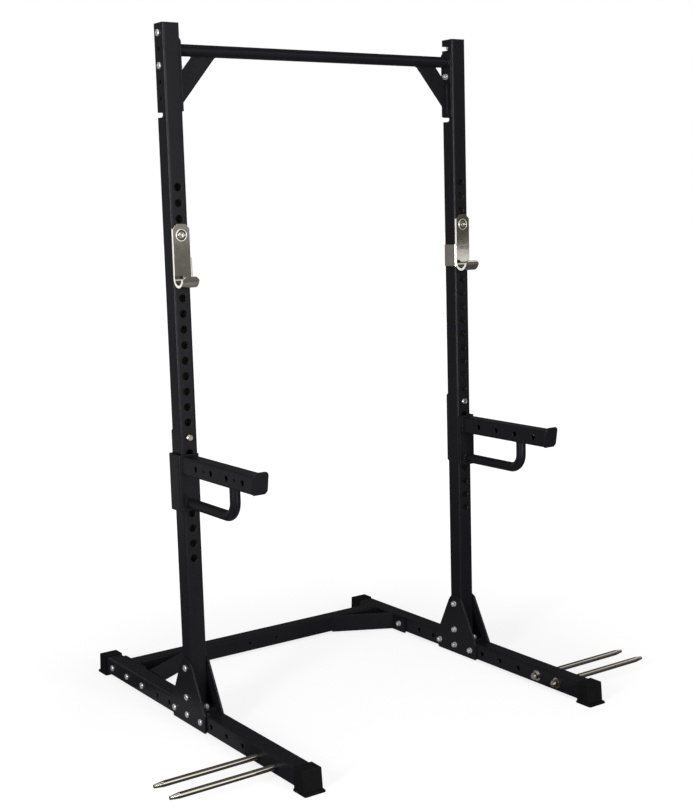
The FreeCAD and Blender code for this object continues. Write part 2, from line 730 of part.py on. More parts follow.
def rear_brace():
    """Flat bar: a foot along the rail, then a bend and a slanting run to the crossmember's front face."""
    body = new_body("rear_brace_right", INNER_FACE, REAR_END, f"{ROW} - Sizes.brace_height / 2")
    face = f"(-Sizes.crossmember_inset - {HALF})"
    near = "(-Sizes.brace_foot_front)"
    far = "(-Sizes.brace_foot_rear)"
    thick = "Sizes.brace_thickness"
    run = "Sizes.brace_reach"
    rise = f"({face} - {far})"
    slope = f"sqrt({run} ^ 2 + {rise} ^ 2)"
    inner_far = f"{far} - {thick} * ({slope} - {rise}) / {run}"
    slant = f"({thick} * {slope} / {rise})"
    sketch = new_sketch(body, "XY_Plane")
    outline(sketch, [
        ("0", near), ("0", far), (f"-{run}", face), (f"-{run} - {slant}", face),
        (f"-{thick}", inner_far), (f"-{thick}", near)])
    pad(body, sketch, "Sizes.brace_height")
    dress(body, "Fillet", lambda edge: along(edge, "Z") and at(edge.BoundBox.YMin, far),
          Radius="Sizes.brace_bend + Sizes.brace_thickness")
    dress(body, "Fillet", lambda edge: along(edge, "Z") and at(edge.BoundBox.XMin, f"-{thick}")
          and not at(edge.BoundBox.YMin, near), Radius="Sizes.brace_bend")
    hole = new_sketch(body, "YZ_Plane")
    circle(hole, "-Sizes.brace_bolt_inset", "Sizes.brace_height / 2", "Sizes.bolt_hole")
    cut(body, hole, both_ways=True)
    return keep(body, "rear_brace_right")


# Pull-up bar

def pull_up_bar():
    """Round tube between the two end plates."""
    body = new_body("pull_up_bar", "0", MIDDLE, BAR_HEIGHT)
    section = new_sketch(body, "YZ_Plane")
    circle(section, "0", "0", "Sizes.bar_diameter")
    circle(section, "0", "0", "Sizes.bar_diameter - 2 * Sizes.bar_wall")
    pad(body, section, f"2 * ({INNER_FACE} - Sizes.bar_plate)", both_ways=True)
    return keep(body, "pull_up_bar")


def pull_up_end_plate():
    """Plate on the bar's end, bolted to the upright's inner face between the two open slots."""
    body = new_body("pull_up_end_plate_right", f"{INNER_FACE} - Sizes.bar_plate", MIDDLE, BAR_HEIGHT)
    half = "Sizes.bar_plate_depth / 2"
    sketch = new_sketch(body, "YZ_Plane")
    outline(sketch, [
        (f"-{half}", "-Sizes.bar_plate_bottom"), (half, "-Sizes.bar_plate_bottom"),
        (half, "Sizes.bar_plate_top - Sizes.bar_plate_crop"),
        (f"{half} - Sizes.bar_plate_crop", "Sizes.bar_plate_top"),
        (f"-{half} + Sizes.bar_plate_crop", "Sizes.bar_plate_top"),
        (f"-{half}", "Sizes.bar_plate_top - Sizes.bar_plate_crop")])
    circle(sketch, "0", f"{SIDE_BOLT_HEIGHT} - {BAR_HEIGHT}", "Sizes.bolt_hole")
    pad(body, sketch, "Sizes.bar_plate")
    return keep(body, "pull_up_end_plate_right")


def pull_up_brace():
    """Flat bar from the underside of the pull-up bar down to the end plate."""
    body = new_body("pull_up_brace_right", f"{INNER_FACE} - Sizes.bar_plate", MIDDLE, BAR_HEIGHT)
    under = "(-Sizes.bar_diameter / 2)"
    steep = "tan(Sizes.strut_angle)"
    sketch = new_sketch(body, "XZ_Plane")
    outline(sketch, [
        ("-Sizes.strut_top_inner", under), ("-Sizes.strut_top_outer", under),
        ("0", f"{under} - Sizes.strut_top_outer * {steep}"),
        ("0", f"{under} - Sizes.strut_top_inner * {steep}")])
    pad(body, sketch, "Sizes.strut_thickness", both_ways=True)
    return keep(body, "pull_up_brace_right")


# J-cups

def j_cup():
    """Thick plate bent into a hook below, with a flange that grips the upright's inner face."""
    body = new_body("j_cup_right", RAIL_X, FRONT, CUP_HEIGHT)
    back = "(-Sizes.cup_gap)"
    face = "(-Sizes.cup_gap - Sizes.cup_plate)"
    inside = f"({face} - Sizes.cup_opening)"
    lip = f"({inside} - Sizes.cup_plate)"
    hook_y = f"({face} - Sizes.cup_opening / 2)"
    hook_z = "(-Sizes.cup_drop)"
    top = "Sizes.cup_top"
    lip_top = f"{hook_z} + Sizes.cup_lip"
    profile = new_sketch(body, "YZ_Plane")
    outline(profile, [(face, top), (face, hook_z), (inside, hook_z), (inside, lip_top), (lip, lip_top),
                      (lip, hook_z), (back, hook_z), (back, top)],
            {1: (hook_y, hook_z, -180), 5: (hook_y, hook_z, 180)})
    pad(body, profile, "Sizes.tube_width", both_ways=True)
    dress(body, "Chamfer", lambda edge: along(edge, "Y") and at(edge.BoundBox.ZMin, top), Size="Sizes.cup_crop")
    dress(body, "Chamfer", lambda edge: along(edge, "Y") and at(edge.BoundBox.ZMin, lip_top),
          Size="Sizes.cup_lip_crop")
    flange = new_sketch(body, "XY_Plane", "-Sizes.cup_flange_bottom")
    inner = f"(-{HALF} - Sizes.cup_gap)"
    outer = f"(-{HALF} - Sizes.cup_gap - Sizes.cup_flange)"
    root = f"-{HALF} + Sizes.cup_flange_bend"
    outline(flange, [(root, face), (root, back), (inner, back), (inner, "Sizes.cup_flange_depth"),
                     (outer, "Sizes.cup_flange_depth"), (outer, face)])
    pad(body, flange, "Sizes.cup_flange_bottom - Sizes.cup_flange_top")
    dress(body, "Fillet", lambda edge: along(edge, "Z") and at(edge.BoundBox.XMin, outer)
          and at(edge.BoundBox.YMin, face), Radius="Sizes.cup_flange_bend")
    hole = new_sketch(body, "XZ_Plane")
    circle(hole, "0", "0", "Sizes.cup_pin_diameter")
    cut(body, hole, both_ways=True)
    ring_sketch = new_sketch(body, "XZ_Plane", f"-{face}")
    circle(ring_sketch, "0", "0", "Sizes.cup_ring_diameter")
    circle(ring_sketch, "0", "0", "Sizes.cup_pin_diameter")
    pad(body, ring_sketch, "Sizes.cup_ring")
    return keep(body, "j_cup_right")


def j_cup_pin():
    """Round pin welded into the plate, long enough to cross the upright."""
    pin = doc.addObject("Part::Cylinder", "cup_pin_blank")
    nose = "Sizes.cup_gap + Sizes.cup_plate + Sizes.cup_ring"
    bind(pin, Radius="Sizes.cup_pin_diameter / 2", Height=f"{nose} + Sizes.tube_width + Sizes.cup_pin_tail")
    pin.Placement.Rotation = FreeCAD.Rotation(FreeCAD.Vector(1, 0, 0), -90)
    place(pin, RAIL_X, f"{FRONT} - ({nose})", CUP_HEIGHT)
    doc.recompute()
    end = doc.addObject("Part::Chamfer", "j_cup_pin_right")
    end.Base = pin
    crop = value("Sizes.cup_pin_chamfer")
    rims = [i for i, edge in enumerate(pin.Shape.Edges, start=1) if edge.BoundBox.YLength < crop]
    end.Edges = [(number, crop, crop) for number in rims]
    return keep(end, "j_cup_pin_right")


# Spotter arms

WALL_X = f"({HALF} + Sizes.liner_gap + Sizes.liner_thickness)"
SKIN_X = f"({WALL_X} + Sizes.bracket_plate)"
WALL_FRONT = "(-Sizes.bracket_front_gap - Sizes.bracket_plate)"
WALL_BACK = "(Sizes.tube_width + Sizes.bracket_back_gap)"
SKIN_BACK = f"({WALL_BACK} + Sizes.bracket_plate)"
BRACKET_LOW = "(-Sizes.bracket_top - Sizes.bracket_height)"
ARM_TOP = "(-Sizes.bracket_top - Sizes.arm_drop)"
ARM_LOW = f"({ARM_TOP} - Sizes.arm_height)"
ARM_X = f"{RAIL_X} + Sizes.arm_offset"


def spotter_bracket():
    """Plate folded round three sides of the upright; its back wall rises to a tab with the pin hole."""
    body = new_body("spotter_bracket_right", RAIL_X, FRONT, LOCK_HEIGHT)
    edge_x = "(-Sizes.bracket_edge)"
    channel = new_sketch(body, "XY_Plane", BRACKET_LOW)
    outline(channel, [
        (edge_x, WALL_FRONT), (SKIN_X, WALL_FRONT), (SKIN_X, SKIN_BACK), (edge_x, SKIN_BACK),
        (edge_x, WALL_BACK), (WALL_X, WALL_BACK), (WALL_X, "-Sizes.bracket_front_gap"),
        (edge_x, "-Sizes.bracket_front_gap")])
    pad(body, channel, "Sizes.bracket_height")
    dress(body, "Fillet", lambda edge: along(edge, "Z") and at(edge.BoundBox.XMin, SKIN_X),
          Radius="Sizes.bracket_bend")
    dress(body, "Fillet", lambda edge: along(edge, "Z") and at(edge.BoundBox.XMin, WALL_X),
          Radius="Sizes.bracket_bend - Sizes.bracket_plate")
    dress(body, "Chamfer", lambda edge: along(edge, "Y") and at(edge.BoundBox.XMin, edge_x)
          and at(edge.BoundBox.ZMin, BRACKET_LOW) and at(edge.BoundBox.YMax, SKIN_BACK), Size="Sizes.bracket_crop")
    tab = new_sketch(body, "XZ_Plane", f"-{SKIN_BACK}")
    low = "(-Sizes.bracket_top)"
    high = "Sizes.tab_rise"
    crop = "Sizes.tab_crop"
    far = "Sizes.bracket_edge"
    outline(tab, [
        (edge_x, low), (edge_x, f"{high} - {crop}"), (f"{edge_x} + {crop}", high), (f"{far} - {crop}", high),
        (far, f"{high} - {crop}"), (far, low)])
    pad(body, tab, "Sizes.bracket_plate")
    hole = new_sketch(body, "XZ_Plane", f"-{HALF}")
    circle(hole, "0", "0", "Sizes.lock_diameter + 2 * Sizes.lock_hole_gap")
    cut(body, hole)
    return keep(body, "spotter_bracket_right")


def spotter_liner():
    """Plastic strip that keeps the bracket's side wall off the upright."""
    strip = doc.addObject("Part::Box", "spotter_liner_right")
    bind(strip, Length="Sizes.liner_thickness", Width="Sizes.tube_width - 2 * Sizes.liner_inset",
         Height="Sizes.bracket_height - 2 * Sizes.liner_inset")
    place(strip, f"{RAIL_X} + {WALL_X} - Sizes.liner_thickness", f"{FRONT} + Sizes.liner_inset",
          f"{LOCK_HEIGHT} + {BRACKET_LOW} + Sizes.liner_inset")
    return keep(strip, "spotter_liner_right")


def spotter_arm():
    """Rectangular tube welded to the bracket's front wall, its end cut on a slant, with side holes."""
    body = new_body("spotter_arm_right", ARM_X, f"{FRONT} + {WALL_FRONT}", LOCK_HEIGHT)
    side = new_sketch(body, "YZ_Plane")
    outline(side, [
        ("0", ARM_LOW), ("0", ARM_TOP), ("-Sizes.arm_length - Sizes.arm_lean", ARM_TOP),
        ("-Sizes.arm_length", ARM_LOW)])
    pad(body, side, "Sizes.arm_width", both_ways=True)
    dress(body, "Fillet", lambda edge: along(edge, "Y"), Radius="Sizes.arm_corner")
    inside = new_sketch(body, "XZ_Plane")
    half = "(Sizes.arm_width / 2 - Sizes.arm_wall)"
    rectangle(inside, f"-{half}", half, f"{ARM_LOW} + Sizes.arm_wall", f"{ARM_TOP} - Sizes.arm_wall")
    cut(body, inside, backwards=True)
    middle = f"{ARM_LOW} + Sizes.arm_height / 2"
    holes = new_sketch(body, "YZ_Plane")
    for number in range(int(SIZES["arm_hole_count"])):
        circle(holes, f"-Sizes.arm_hole_first - {number} * Sizes.arm_hole_pitch", middle, "Sizes.arm_hole")
    cut(body, holes, both_ways=True)
    small = new_sketch(body, "YZ_Plane")
    for number in (0, 2):
        ahead = f"-Sizes.arm_hole_first - {number} * Sizes.arm_hole_pitch - Sizes.arm_hole_pitch / 2"
        circle(small, ahead, middle, "Sizes.arm_small_hole")
    cut(body, small, backwards=True)
    return keep(body, "spotter_arm_right")


def spotter_end_plate():
    """Stop plate on the arm's slanted end; it rises past the arm so that a bar can't roll off."""
    ahead = f"{FRONT} + {WALL_FRONT} - Sizes.arm_length"
    body = new_body("spotter_end_plate_right", ARM_X, ahead, f"{LOCK_HEIGHT} + {ARM_LOW}")
    high = "(Sizes.arm_height + Sizes.stop_rise)"
    lean = f"(Sizes.arm_lean * {high} / Sizes.arm_height)"
    side = new_sketch(body, "YZ_Plane")
    outline(side, [
        ("0", "0"), (f"-{lean}", high), (f"-{lean} - Sizes.stop_plate", high), ("-Sizes.stop_plate", "0")])
    pad(body, side, "Sizes.stop_width", both_ways=True)
    dress(body, "Fillet", lambda edge: along(edge, "Y"), Radius="Sizes.stop_corner")
    return keep(body, "spotter_end_plate_right")


def spotter_handle():
    """Round bar bent once: from the bracket forwards, then up to the arm's underside."""
    body = new_body("spotter_handle_right", ARM_X, f"{FRONT} + {WALL_FRONT}", LOCK_HEIGHT)
    low = "(-Sizes.handle_drop)"
    ahead = "(-Sizes.handle_reach)"
    bend = "Sizes.handle_bend"
    path = new_sketch(body, "YZ_Plane")
    outline(path, [("0", low), (f"{ahead} + {bend}", low), (ahead, f"{low} + {bend}"), (ahead, ARM_LOW)],
            {1: (f"{ahead} + {bend}", f"{low} + {bend}", -90)}, closed=False)
    section = new_sketch(body, "XZ_Plane")
    circle(section, "0", low, "Sizes.handle_diameter")
    pipe = body.newObject("PartDesign::AdditivePipe", "handle_pipe")
    pipe.Profile = section
    pipe.Spine = (path, [])
    doc.recompute()
    return keep(body, "spotter_handle_right")


def lock_pin():
    """Pin with a rounded nose and a low head, pushed in from the back."""
    body = new_body("lock_pin_right", RAIL_X, FRONT, LOCK_HEIGHT)
    under_head = f"{SKIN_BACK} + Sizes.lock_head_gap"
    nose = "(-Sizes.lock_nose)"
    half = new_sketch(body, "XY_Plane")
    outline(half, [
        ("0", nose), ("Sizes.lock_diameter / 2", nose), ("Sizes.lock_diameter / 2", under_head),
        ("Sizes.lock_head_diameter / 2", under_head),
        ("Sizes.lock_head_diameter / 2", f"{under_head} + Sizes.lock_head"),
        ("0", f"{under_head} + Sizes.lock_head")])
    turned(body, half, "Y_Axis")
    dress(body, "Fillet", lambda edge: at(edge.BoundBox.YMin, nose) and at(edge.BoundBox.YMax, nose),
          Radius="Sizes.lock_nose_round")
    return keep(body, "lock_pin_right")


def build():
    """Build the right half and the middle, then mirror what comes in pairs."""
    front_cap = foot_cap()
    halves = [base_rail(), front_cap, mirrored("foot_cap_rear_right", front_cap, (0, 1, 0)), upright(),
              upright_foot_plate(), upright_top_cap(), gusset_plate("gusset_plate_outer_right", OUTER_FACE),
              gusset_plate("gusset_plate_inner_right", f"{INNER_FACE} - Sizes.gusset_plate"),
              crossmember_end_plate(), rear_brace(), pull_up_end_plate(), pull_up_brace(), j_cup(), j_cup_pin(),
              spotter_bracket(), spotter_liner(), spotter_arm(), spotter_end_plate(), spotter_handle(),
              lock_pin()]
    crossmember()
    pull_up_bar()
    for piece in halves:
        mirrored(piece.Label.removesuffix("right") + "left", piece, (1, 0, 0))
    storage_rods()
    fasteners()
    doc.recompute()


def export():
    """Check every object, then write each piece to its own file."""
    for thing in doc.Objects:
        if {"Invalid", "Error"} & set(thing.State):
            raise ValueError(thing.Name + " failed to build")
    for piece in pieces:
        if piece.Shape.isNull() or not piece.Shape.isValid():
            raise ValueError(piece.Label + " has no valid shape")
    os.makedirs("parts", exist_ok=True)
    for piece in pieces:
        piece.Shape.exportStep(os.path.join("parts", piece.Label + ".step"))
        print(piece.Label, len(piece.Shape.Solids), round(piece.Shape.Volume))


build()
export()
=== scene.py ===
"""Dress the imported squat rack: finishes, fastenings, welds, bent handles, studio and camera.

Metres, in the row's frame: Z is up from the floor, X runs across the rack and -Y is its front.
"""
import math
from functools import cache

import bmesh
import bpy
from bpy.props import FloatProperty, FloatVectorProperty, IntProperty, PointerProperty
from mathutils import Matrix, Vector


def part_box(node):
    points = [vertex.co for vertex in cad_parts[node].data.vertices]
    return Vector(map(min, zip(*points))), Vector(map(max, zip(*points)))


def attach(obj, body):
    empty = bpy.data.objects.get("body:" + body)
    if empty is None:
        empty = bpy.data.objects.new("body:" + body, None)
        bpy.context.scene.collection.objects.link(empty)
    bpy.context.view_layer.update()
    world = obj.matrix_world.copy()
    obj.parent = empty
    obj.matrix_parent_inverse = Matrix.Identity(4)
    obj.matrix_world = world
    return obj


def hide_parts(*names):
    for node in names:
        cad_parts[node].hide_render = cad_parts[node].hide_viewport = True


bl_info = {
    "name": "Squat rack finish",
    "version": (1, 0, 0),
    "blender": (4, 5, 0),
    "location": "3D View > Sidebar > Rack",
    "description": "Finishes, fastenings, welds, handles and studio for the packed squat rack",
    "category": "Object",
}

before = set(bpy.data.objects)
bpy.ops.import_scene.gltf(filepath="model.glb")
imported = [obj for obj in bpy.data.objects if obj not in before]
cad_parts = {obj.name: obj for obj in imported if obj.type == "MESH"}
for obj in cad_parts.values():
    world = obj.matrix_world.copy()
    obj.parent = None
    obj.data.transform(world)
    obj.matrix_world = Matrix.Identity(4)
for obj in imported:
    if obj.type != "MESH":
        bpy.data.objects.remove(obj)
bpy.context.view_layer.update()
SIDES = {"left": -1, "right": 1}
MM = 0.001


def linear(code):
    """The linear colour of an sRGB hex code."""
    parts = [int(code[i:i + 2], 16) / 255 for i in (1, 3, 5)]
    return [part / 12.92 if part <= 0.04045 else ((part + 0.055) / 1.055) ** 2.4 for part in parts]


def colour(code, name, description):
    """A colour setting with its default as sRGB hex."""
    return FloatVectorProperty(name=name, description=description, default=linear(code), subtype="COLOR",
                               min=0, max=1)


def length(millimetres, name, description):
    """A length setting with its default in millimetres."""
    return FloatProperty(name=name, description=description, default=millimetres * MM, min=0, precision=5,
                         subtype="DISTANCE", unit="LENGTH")


def angle(degrees, name, description):
    """An angle setting with its default in degrees."""
    return FloatProperty(name=name, description=description, default=math.radians(degrees), subtype="ANGLE")


def power(watts, name, description):
    """A setting for the power of a lamp."""
    return FloatProperty(name=name, description=description, default=watts, min=0, subtype="POWER", unit="POWER")


class RackFinishes(bpy.types.PropertyGroup):
    """Colours of the rack's finishes."""
    coat: colour("#151519", "Powder coat", "Colour of the satin powder coat on all tubes and plates")
    rubber: colour("#0d0d0e", "Rubber", "Colour of the moulded foot caps")
    plastic: colour("#161618", "Plastic", "Colour of the top plugs and the spotter liners")
    nickel: colour("#c8c3b9", "Nickel", "Colour of the plating on J-cups and storage rods")
    # painted highlight: near-white colour that stands in for the bright reflections on the J-cups' plate edges and
    # weld rings
    painted_highlight: colour("#f4f1ea", "Sheared edges", "Colour of the plating where it is milky: sheared edges and welds")
    # painted shade: the dark ring between each J-cup's pin and its weld is partly heat tint, partly the shade of the
    # gap there
    root_tint_and_shade_colour: colour("#1d1813", "Weld root", "Colour of the ring between each J-cup's pin and its weld")
    bare_steel: colour("#7d765f", "Bare steel", "Colour of the oiled steel inside the tubes")
    zinc: colour("#dcdee1", "Zinc", "Colour of the plating on screws, nuts and washers")
    # painted shade: the lock pins' shank is coloured near black to hide its reflections
    painted_shank_shade: colour("#1b1a19", "Pin shank", "Colour of the blackened shank of the lock pins")
    pin_steel: colour("#a8a39a", "Pin steel", "Colour of the plating on the lock pins")
    coat_roughness: FloatProperty(name="Coat roughness", description="Roughness of the powder coat", default=0.27,
                                  min=0, max=1, subtype="FACTOR")


class RackHardware(bpy.types.PropertyGroup):
    """Sizes of the small hardware that the solids leave plain."""
    head_rise: length(6.2, "Head rise", "Height of the domed screw heads")
    head_flare: length(1, "Head flare", "How far each screw head spreads past its plain solid")
    socket_flats: length(5, "Socket", "Width across flats of the hexagon socket in each screw head")
    socket_depth: length(3, "Socket depth", "Depth of the socket")
    thread_pitch: length(1.5, "Thread pitch", "Distance from one thread to the next")
    thread_depth: length(0.8, "Thread depth", "Depth of the thread")
    nut_chamfer: length(0.7, "Nut chamfer", "How far each nut's hole is countersunk")
    bead_width: length(5, "Weld width", "Width of a weld bead")
    bead_ripple: length(2.2, "Weld ripple", "Distance from one ripple of a weld bead to the next")
    ball: length(2.8, "Detent ball", "Diameter of the spring-loaded ball in each lock pin")
    stop_plate: length(5, "Stop plate", "Thickness of the plate on the end of each spotter arm")
    stop_corner: length(13, "Stop corner", "Radius of the stop plate's corners")
    stop_rim: length(1, "Stop rim", "How far the stop plate's rim is softened")
    handle_bend: length(52, "Handle bend", "Radius of the bend in each spotter handle, at its middle line")
    bar_sides: IntProperty(name="Bar sides", description="Facets round each bent handle", default=40, min=12,
                           max=96)


class RackStudio(bpy.types.PropertyGroup):
    """Camera and light."""
    camera_place: FloatVectorProperty(name="Camera place", description="Where the camera stands",
                                      default=(-2.6312, -3.9029, 1.6996), subtype="TRANSLATION", unit="LENGTH")
    camera_turn: angle(34.6415, "Camera turn", "How far the camera stands round to the left")
    camera_dip: angle(8.2689, "Camera dip", "How far the camera looks down")
    camera_roll: angle(-1.5823, "Camera roll", "How far the camera leans")
    lens: FloatProperty(name="Lens", description="Focal length in millimetres for a 36 mm long side",
                        default=60.702, min=1)
    key: power(110, "Key light", "Power of the tall softbox at the front")
    side: power(180, "Side light", "Power of the tall softbox at the left")
    top: power(35, "Top light", "Power of the overhead softbox")
    sky: FloatProperty(name="Fill", description="Strength of the even light from all sides", default=0.22, min=0)
    # painted reflections: the flags, cloths and card glow at these strengths and are seen only in reflections
    flag_shade: FloatProperty(name="Flags", description="Brightness of the grey flags that metal mirrors",
                              default=0.2, min=0, max=1, subtype="FACTOR")
    card_shade: FloatProperty(name="Card", description="Brightness of the white card that the storage rods mirror",
                              default=1.5, min=0)


def finishes():
    """The colour settings."""
    return bpy.context.scene.rack_finishes


def hardware():
    """The hardware settings."""
    return bpy.context.scene.rack_hardware


def studio():
    """The camera and light settings."""
    return bpy.context.scene.rack_studio


def fill(tree, node, inputs):
    """Fill a node's inputs, by name or number, with values or links. Another node gives its first output."""
    for name, source in inputs.items():
        if isinstance(source, bpy.types.Node):
            source = source.outputs[0]
        if isinstance(source, bpy.types.NodeSocket):
            tree.links.new(source, node.inputs[name])
        else:
            node.inputs[name].default_value = source


def add_node(tree, kind, inputs=None, **settings):
    """Add a node, set it and fill its inputs."""
    node = tree.nodes.new(kind)
    for name, setting in settings.items():
        setattr(node, name, setting)
    fill(tree, node, inputs or {})
    return node


def between(start, end, steps):
    """Numbers from a start to an end in equal steps."""
    return [start + (end - start) * step / steps for step in range(steps + 1)]


# Materials

def surface(name, **settings):
    """A new material, its node tree and its shader with the given settings."""
    material = bpy.data.materials.new(name)
    material.use_nodes = True
    shader = material.node_tree.nodes["Principled BSDF"]
    fill(material.node_tree, shader, {label.replace("_", " "): setting for label, setting in settings.items()})
    return material, material.node_tree, shader


def grain(tree, size, stretch=(1, 1, 1), detail=3.0):
    """Noise with spots of a size in metres, drawn out by a stretch along each axis."""
    place = add_node(tree, "ShaderNodeTexCoord").outputs["Object"]
    drawn = add_node(tree, "ShaderNodeMapping", {"Vector": place, "Scale": [1 / (size * s) for s in stretch]})
    return add_node(tree, "ShaderNodeTexNoise", {
        "Vector": drawn, "Scale": 1.0, "Detail": detail, "Roughness": 0.55})


def spread(tree, noise, low, high):
    """Spread the middle of a noise, where nearly all of it lies, between two numbers."""
    return add_node(tree, "ShaderNodeMapRange", {
        "Value": noise, "From Min": 0.3, "From Max": 0.7, "To Min": low, "To Max": high})


def tinted(tree, noise, base, low, high):
    """A base colour made darker and lighter by a noise, between two factors."""
    share = spread(tree, noise, low, high)
    grey = add_node(tree, "ShaderNodeCombineColor", {"Red": share, "Green": share, "Blue": share})
    return add_node(tree, "ShaderNodeMix", {"Factor": 1.0, "A": [*base, 1], "B": grey}, data_type="RGBA",
                    blend_type="MULTIPLY").outputs["Result"]


def varied(tree, shader, noise, base, tint, roughness):
    """Vary a shader's base colour and its roughness by a noise, each over a range."""
    fill(tree, shader, {"Base Color": tinted(tree, noise, base, *tint), "Roughness": spread(tree, noise, *roughness)})


def patched(tree, shader, tint, patch, base):
    """Colour a shader with a tint, and with a plain base colour where a patch is 1."""
    mix = add_node(tree, "ShaderNodeMix", {"Factor": patch, "A": tint, "B": [*base, 1]}, data_type="RGBA")
    fill(tree, shader, {"Base Color": mix.outputs["Result"]})


def unmetalled(tree, shader, patch):
    """Make a shader metal, apart from where a patch is 1."""
    metal = add_node(tree, "ShaderNodeMapRange", {"Value": patch, "To Min": 1.0, "To Max": 0.0})
    fill(tree, shader, {"Metallic": metal})


def bumped(tree, shader, noise, height, strength, edge=0.5 * MM):
    """Give a shader the relief of a noise, of a height in metres, over edges broken to a radius."""
    broken = add_node(tree, "ShaderNodeBevel", {"Radius": edge}, samples=6)
    bump = add_node(tree, "ShaderNodeBump", {
        "Height": noise, "Distance": height, "Strength": strength, "Normal": broken})
    fill(tree, shader, {"Normal": bump})


def place_along(tree, axis):
    """Where a point lies along an axis of the rack."""
    place = add_node(tree, "ShaderNodeTexCoord").outputs["Object"]
    return add_node(tree, "ShaderNodeSeparateXYZ", {"Vector": place}).outputs[axis]


def out_from_upright(tree):
    """How far outwards a point lies from the middle of the upright on its side, less than 0 inwards."""
    low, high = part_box("upright_right")
    across = add_node(tree, "ShaderNodeMath", {0: place_along(tree, "X")}, operation="ABSOLUTE")
    return add_node(tree, "ShaderNodeMath", {0: across, 1: (low.x + high.x) / 2}, operation="SUBTRACT")


def coated(name):
    """The shader of satin powder coat and its colour, with the coat's relief and gloss."""
    material, tree, shader = surface(name, Specular_IOR_Level=0.14)
    peel = grain(tree, 3 * MM)
    cloud = grain(tree, 60 * MM, detail=2.0)
    rough = finishes().coat_roughness
    fill(tree, shader, {"Roughness": spread(tree, peel, rough - 0.03, rough + 0.04)})
    bumped(tree, shader, peel, 0.12 * MM, 0.12, 4 * MM)
    return material, tree, shader, tinted(tree, cloud, finishes().coat, 0.92, 1.08)


def powder_coat():
    """Polyester powder coat, sprayed and baked: satin black, faintly violet, with the low orange peel of
    fused powder, so highlights on the tubes' corners run long and soft. The peel is drawn at 3 mm, twice its
    real size, so that it shows. The powder flows round each edge and rounds it off."""
    material, tree, shader, tint = coated("satin_black_powder_coat")
    fill(tree, shader, {"Base Color": tint})
    return material


def powder_coat_tube():
    """The same coat on the uprights, which stops just inside the holes: behind them the eye meets bare,
    oiled steel with a brown-olive cast."""
    material, tree, shader, tint = coated("satin_black_powder_coat_outside_bare_steel")
    low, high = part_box("upright_right")
    coat_ends = (high.x - low.x) / 2 - 2.8 * MM
    near = [add_node(tree, "ShaderNodeMath", {0: place, 1: middle, 2: coat_ends}, operation="COMPARE")
            for place, middle in ((out_from_upright(tree), 0.0), (place_along(tree, "Y"), (low.y + high.y) / 2))]
    inside = add_node(tree, "ShaderNodeMath", dict(enumerate(near)), operation="MULTIPLY")
    patched(tree, shader, tint, inside, finishes().bare_steel)
    return material


def moulded_rubber():
    """Compression-moulded natural rubber: dead matt black with a fine grain and a dusty grey bloom in patches."""
    material, tree, shader = surface("moulded_black_rubber", Specular_IOR_Level=0.08)
    varied(tree, shader, grain(tree, 18 * MM), finishes().rubber, (0.85, 1.25), (0.68, 0.82))
    bumped(tree, shader, grain(tree, 1.6 * MM), 0.1 * MM, 0.5)
    return material


def moulded_plastic():
    """Injection-moulded polyethylene: matt black with a fine spark-eroded texture."""
    material, tree, shader = surface("moulded_black_polyethylene", Roughness=0.55, Specular_IOR_Level=0.2)
    texture = grain(tree, 1.2 * MM)
    fill(tree, shader, {"Base Color": tinted(tree, texture, finishes().plastic, 0.9, 1.1)})
    bumped(tree, shader, texture, 0.06 * MM, 0.5)
    return material


def painted_edge_highlight(tree):
    """1 on the edges of the J-cups' plates, which lie across the rack at half a plate's width from the middle of
    each upright, where a highlight is painted on, otherwise 0."""
    half_plate = (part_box("j_cup_right")[1].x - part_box("upright_right")[0].x) / 2
    away = add_node(tree, "ShaderNodeMath", {0: out_from_upright(tree)}, operation="ABSOLUTE")
    return add_node(tree, "ShaderNodeMath", {0: away, 1: half_plate, 2: 0.6 * MM}, operation="COMPARE")


def bright_nickel():
    """Nickel plate on rolled steel: bright, with the plate's rolling marks drawn out upwards and a slight
    waviness, so it mirrors its surroundings in soft bands. The plates' edges carry a painted highlight: a
    near-white, rough, less metallic colour that stays bright under any light."""
    material, tree, shader = surface("bright_nickel_plate", Metallic=1.0)
    rolled = grain(tree, 2.5 * MM, (1, 1, 16), detail=4.0)
    cloud = grain(tree, 22 * MM, detail=2.0)
    painted_highlight = painted_edge_highlight(tree)
    # painted highlight: the plate edges get a near-white colour, less metal and rougher, in place of their
    # reflections
    patched(tree, shader, tinted(tree, cloud, finishes().nickel, 0.88, 1.04), painted_highlight, finishes().painted_highlight)
    unmetalled(tree, shader, painted_highlight)
    polish = spread(tree, rolled, 0.05, 0.1)
    rough = add_node(tree, "ShaderNodeMapRange", {"Value": painted_highlight, "To Min": polish, "To Max": 0.5})
    fill(tree, shader, {"Roughness": rough})
    bumped(tree, shader, cloud, 0.15 * MM, 0.5, 1 * MM)
    return material


def turned_nickel():
    """Nickel plate on cold-drawn round bar: warm and bright, with fine draw lines along it, so that what it
    mirrors runs along the bar in crisp bands."""
    material, tree, shader = surface("bright_nickel_on_drawn_bar", Metallic=1.0)
    lines = grain(tree, 1.5 * MM, (60, 1, 1), detail=2.0)
    varied(tree, shader, lines, finishes().nickel, (0.9, 1.04), (0.04, 0.08))
    return material


def weld_with_painted_highlight():
    """The ring of weld round each J-cup's pin, with a painted highlight: near white, rough and less metallic,
    so the bead looks evenly bright beside the mirror-bright plate under any light."""
    material, tree, shader = surface("weld_bead_painted_highlight", Metallic=0.7)
    # painted highlight: the bead's colour is the near-white highlight colour
    varied(tree, shader, grain(tree, 1.5 * MM), finishes().painted_highlight, (0.8, 1.0), (0.3, 0.4))
    return material


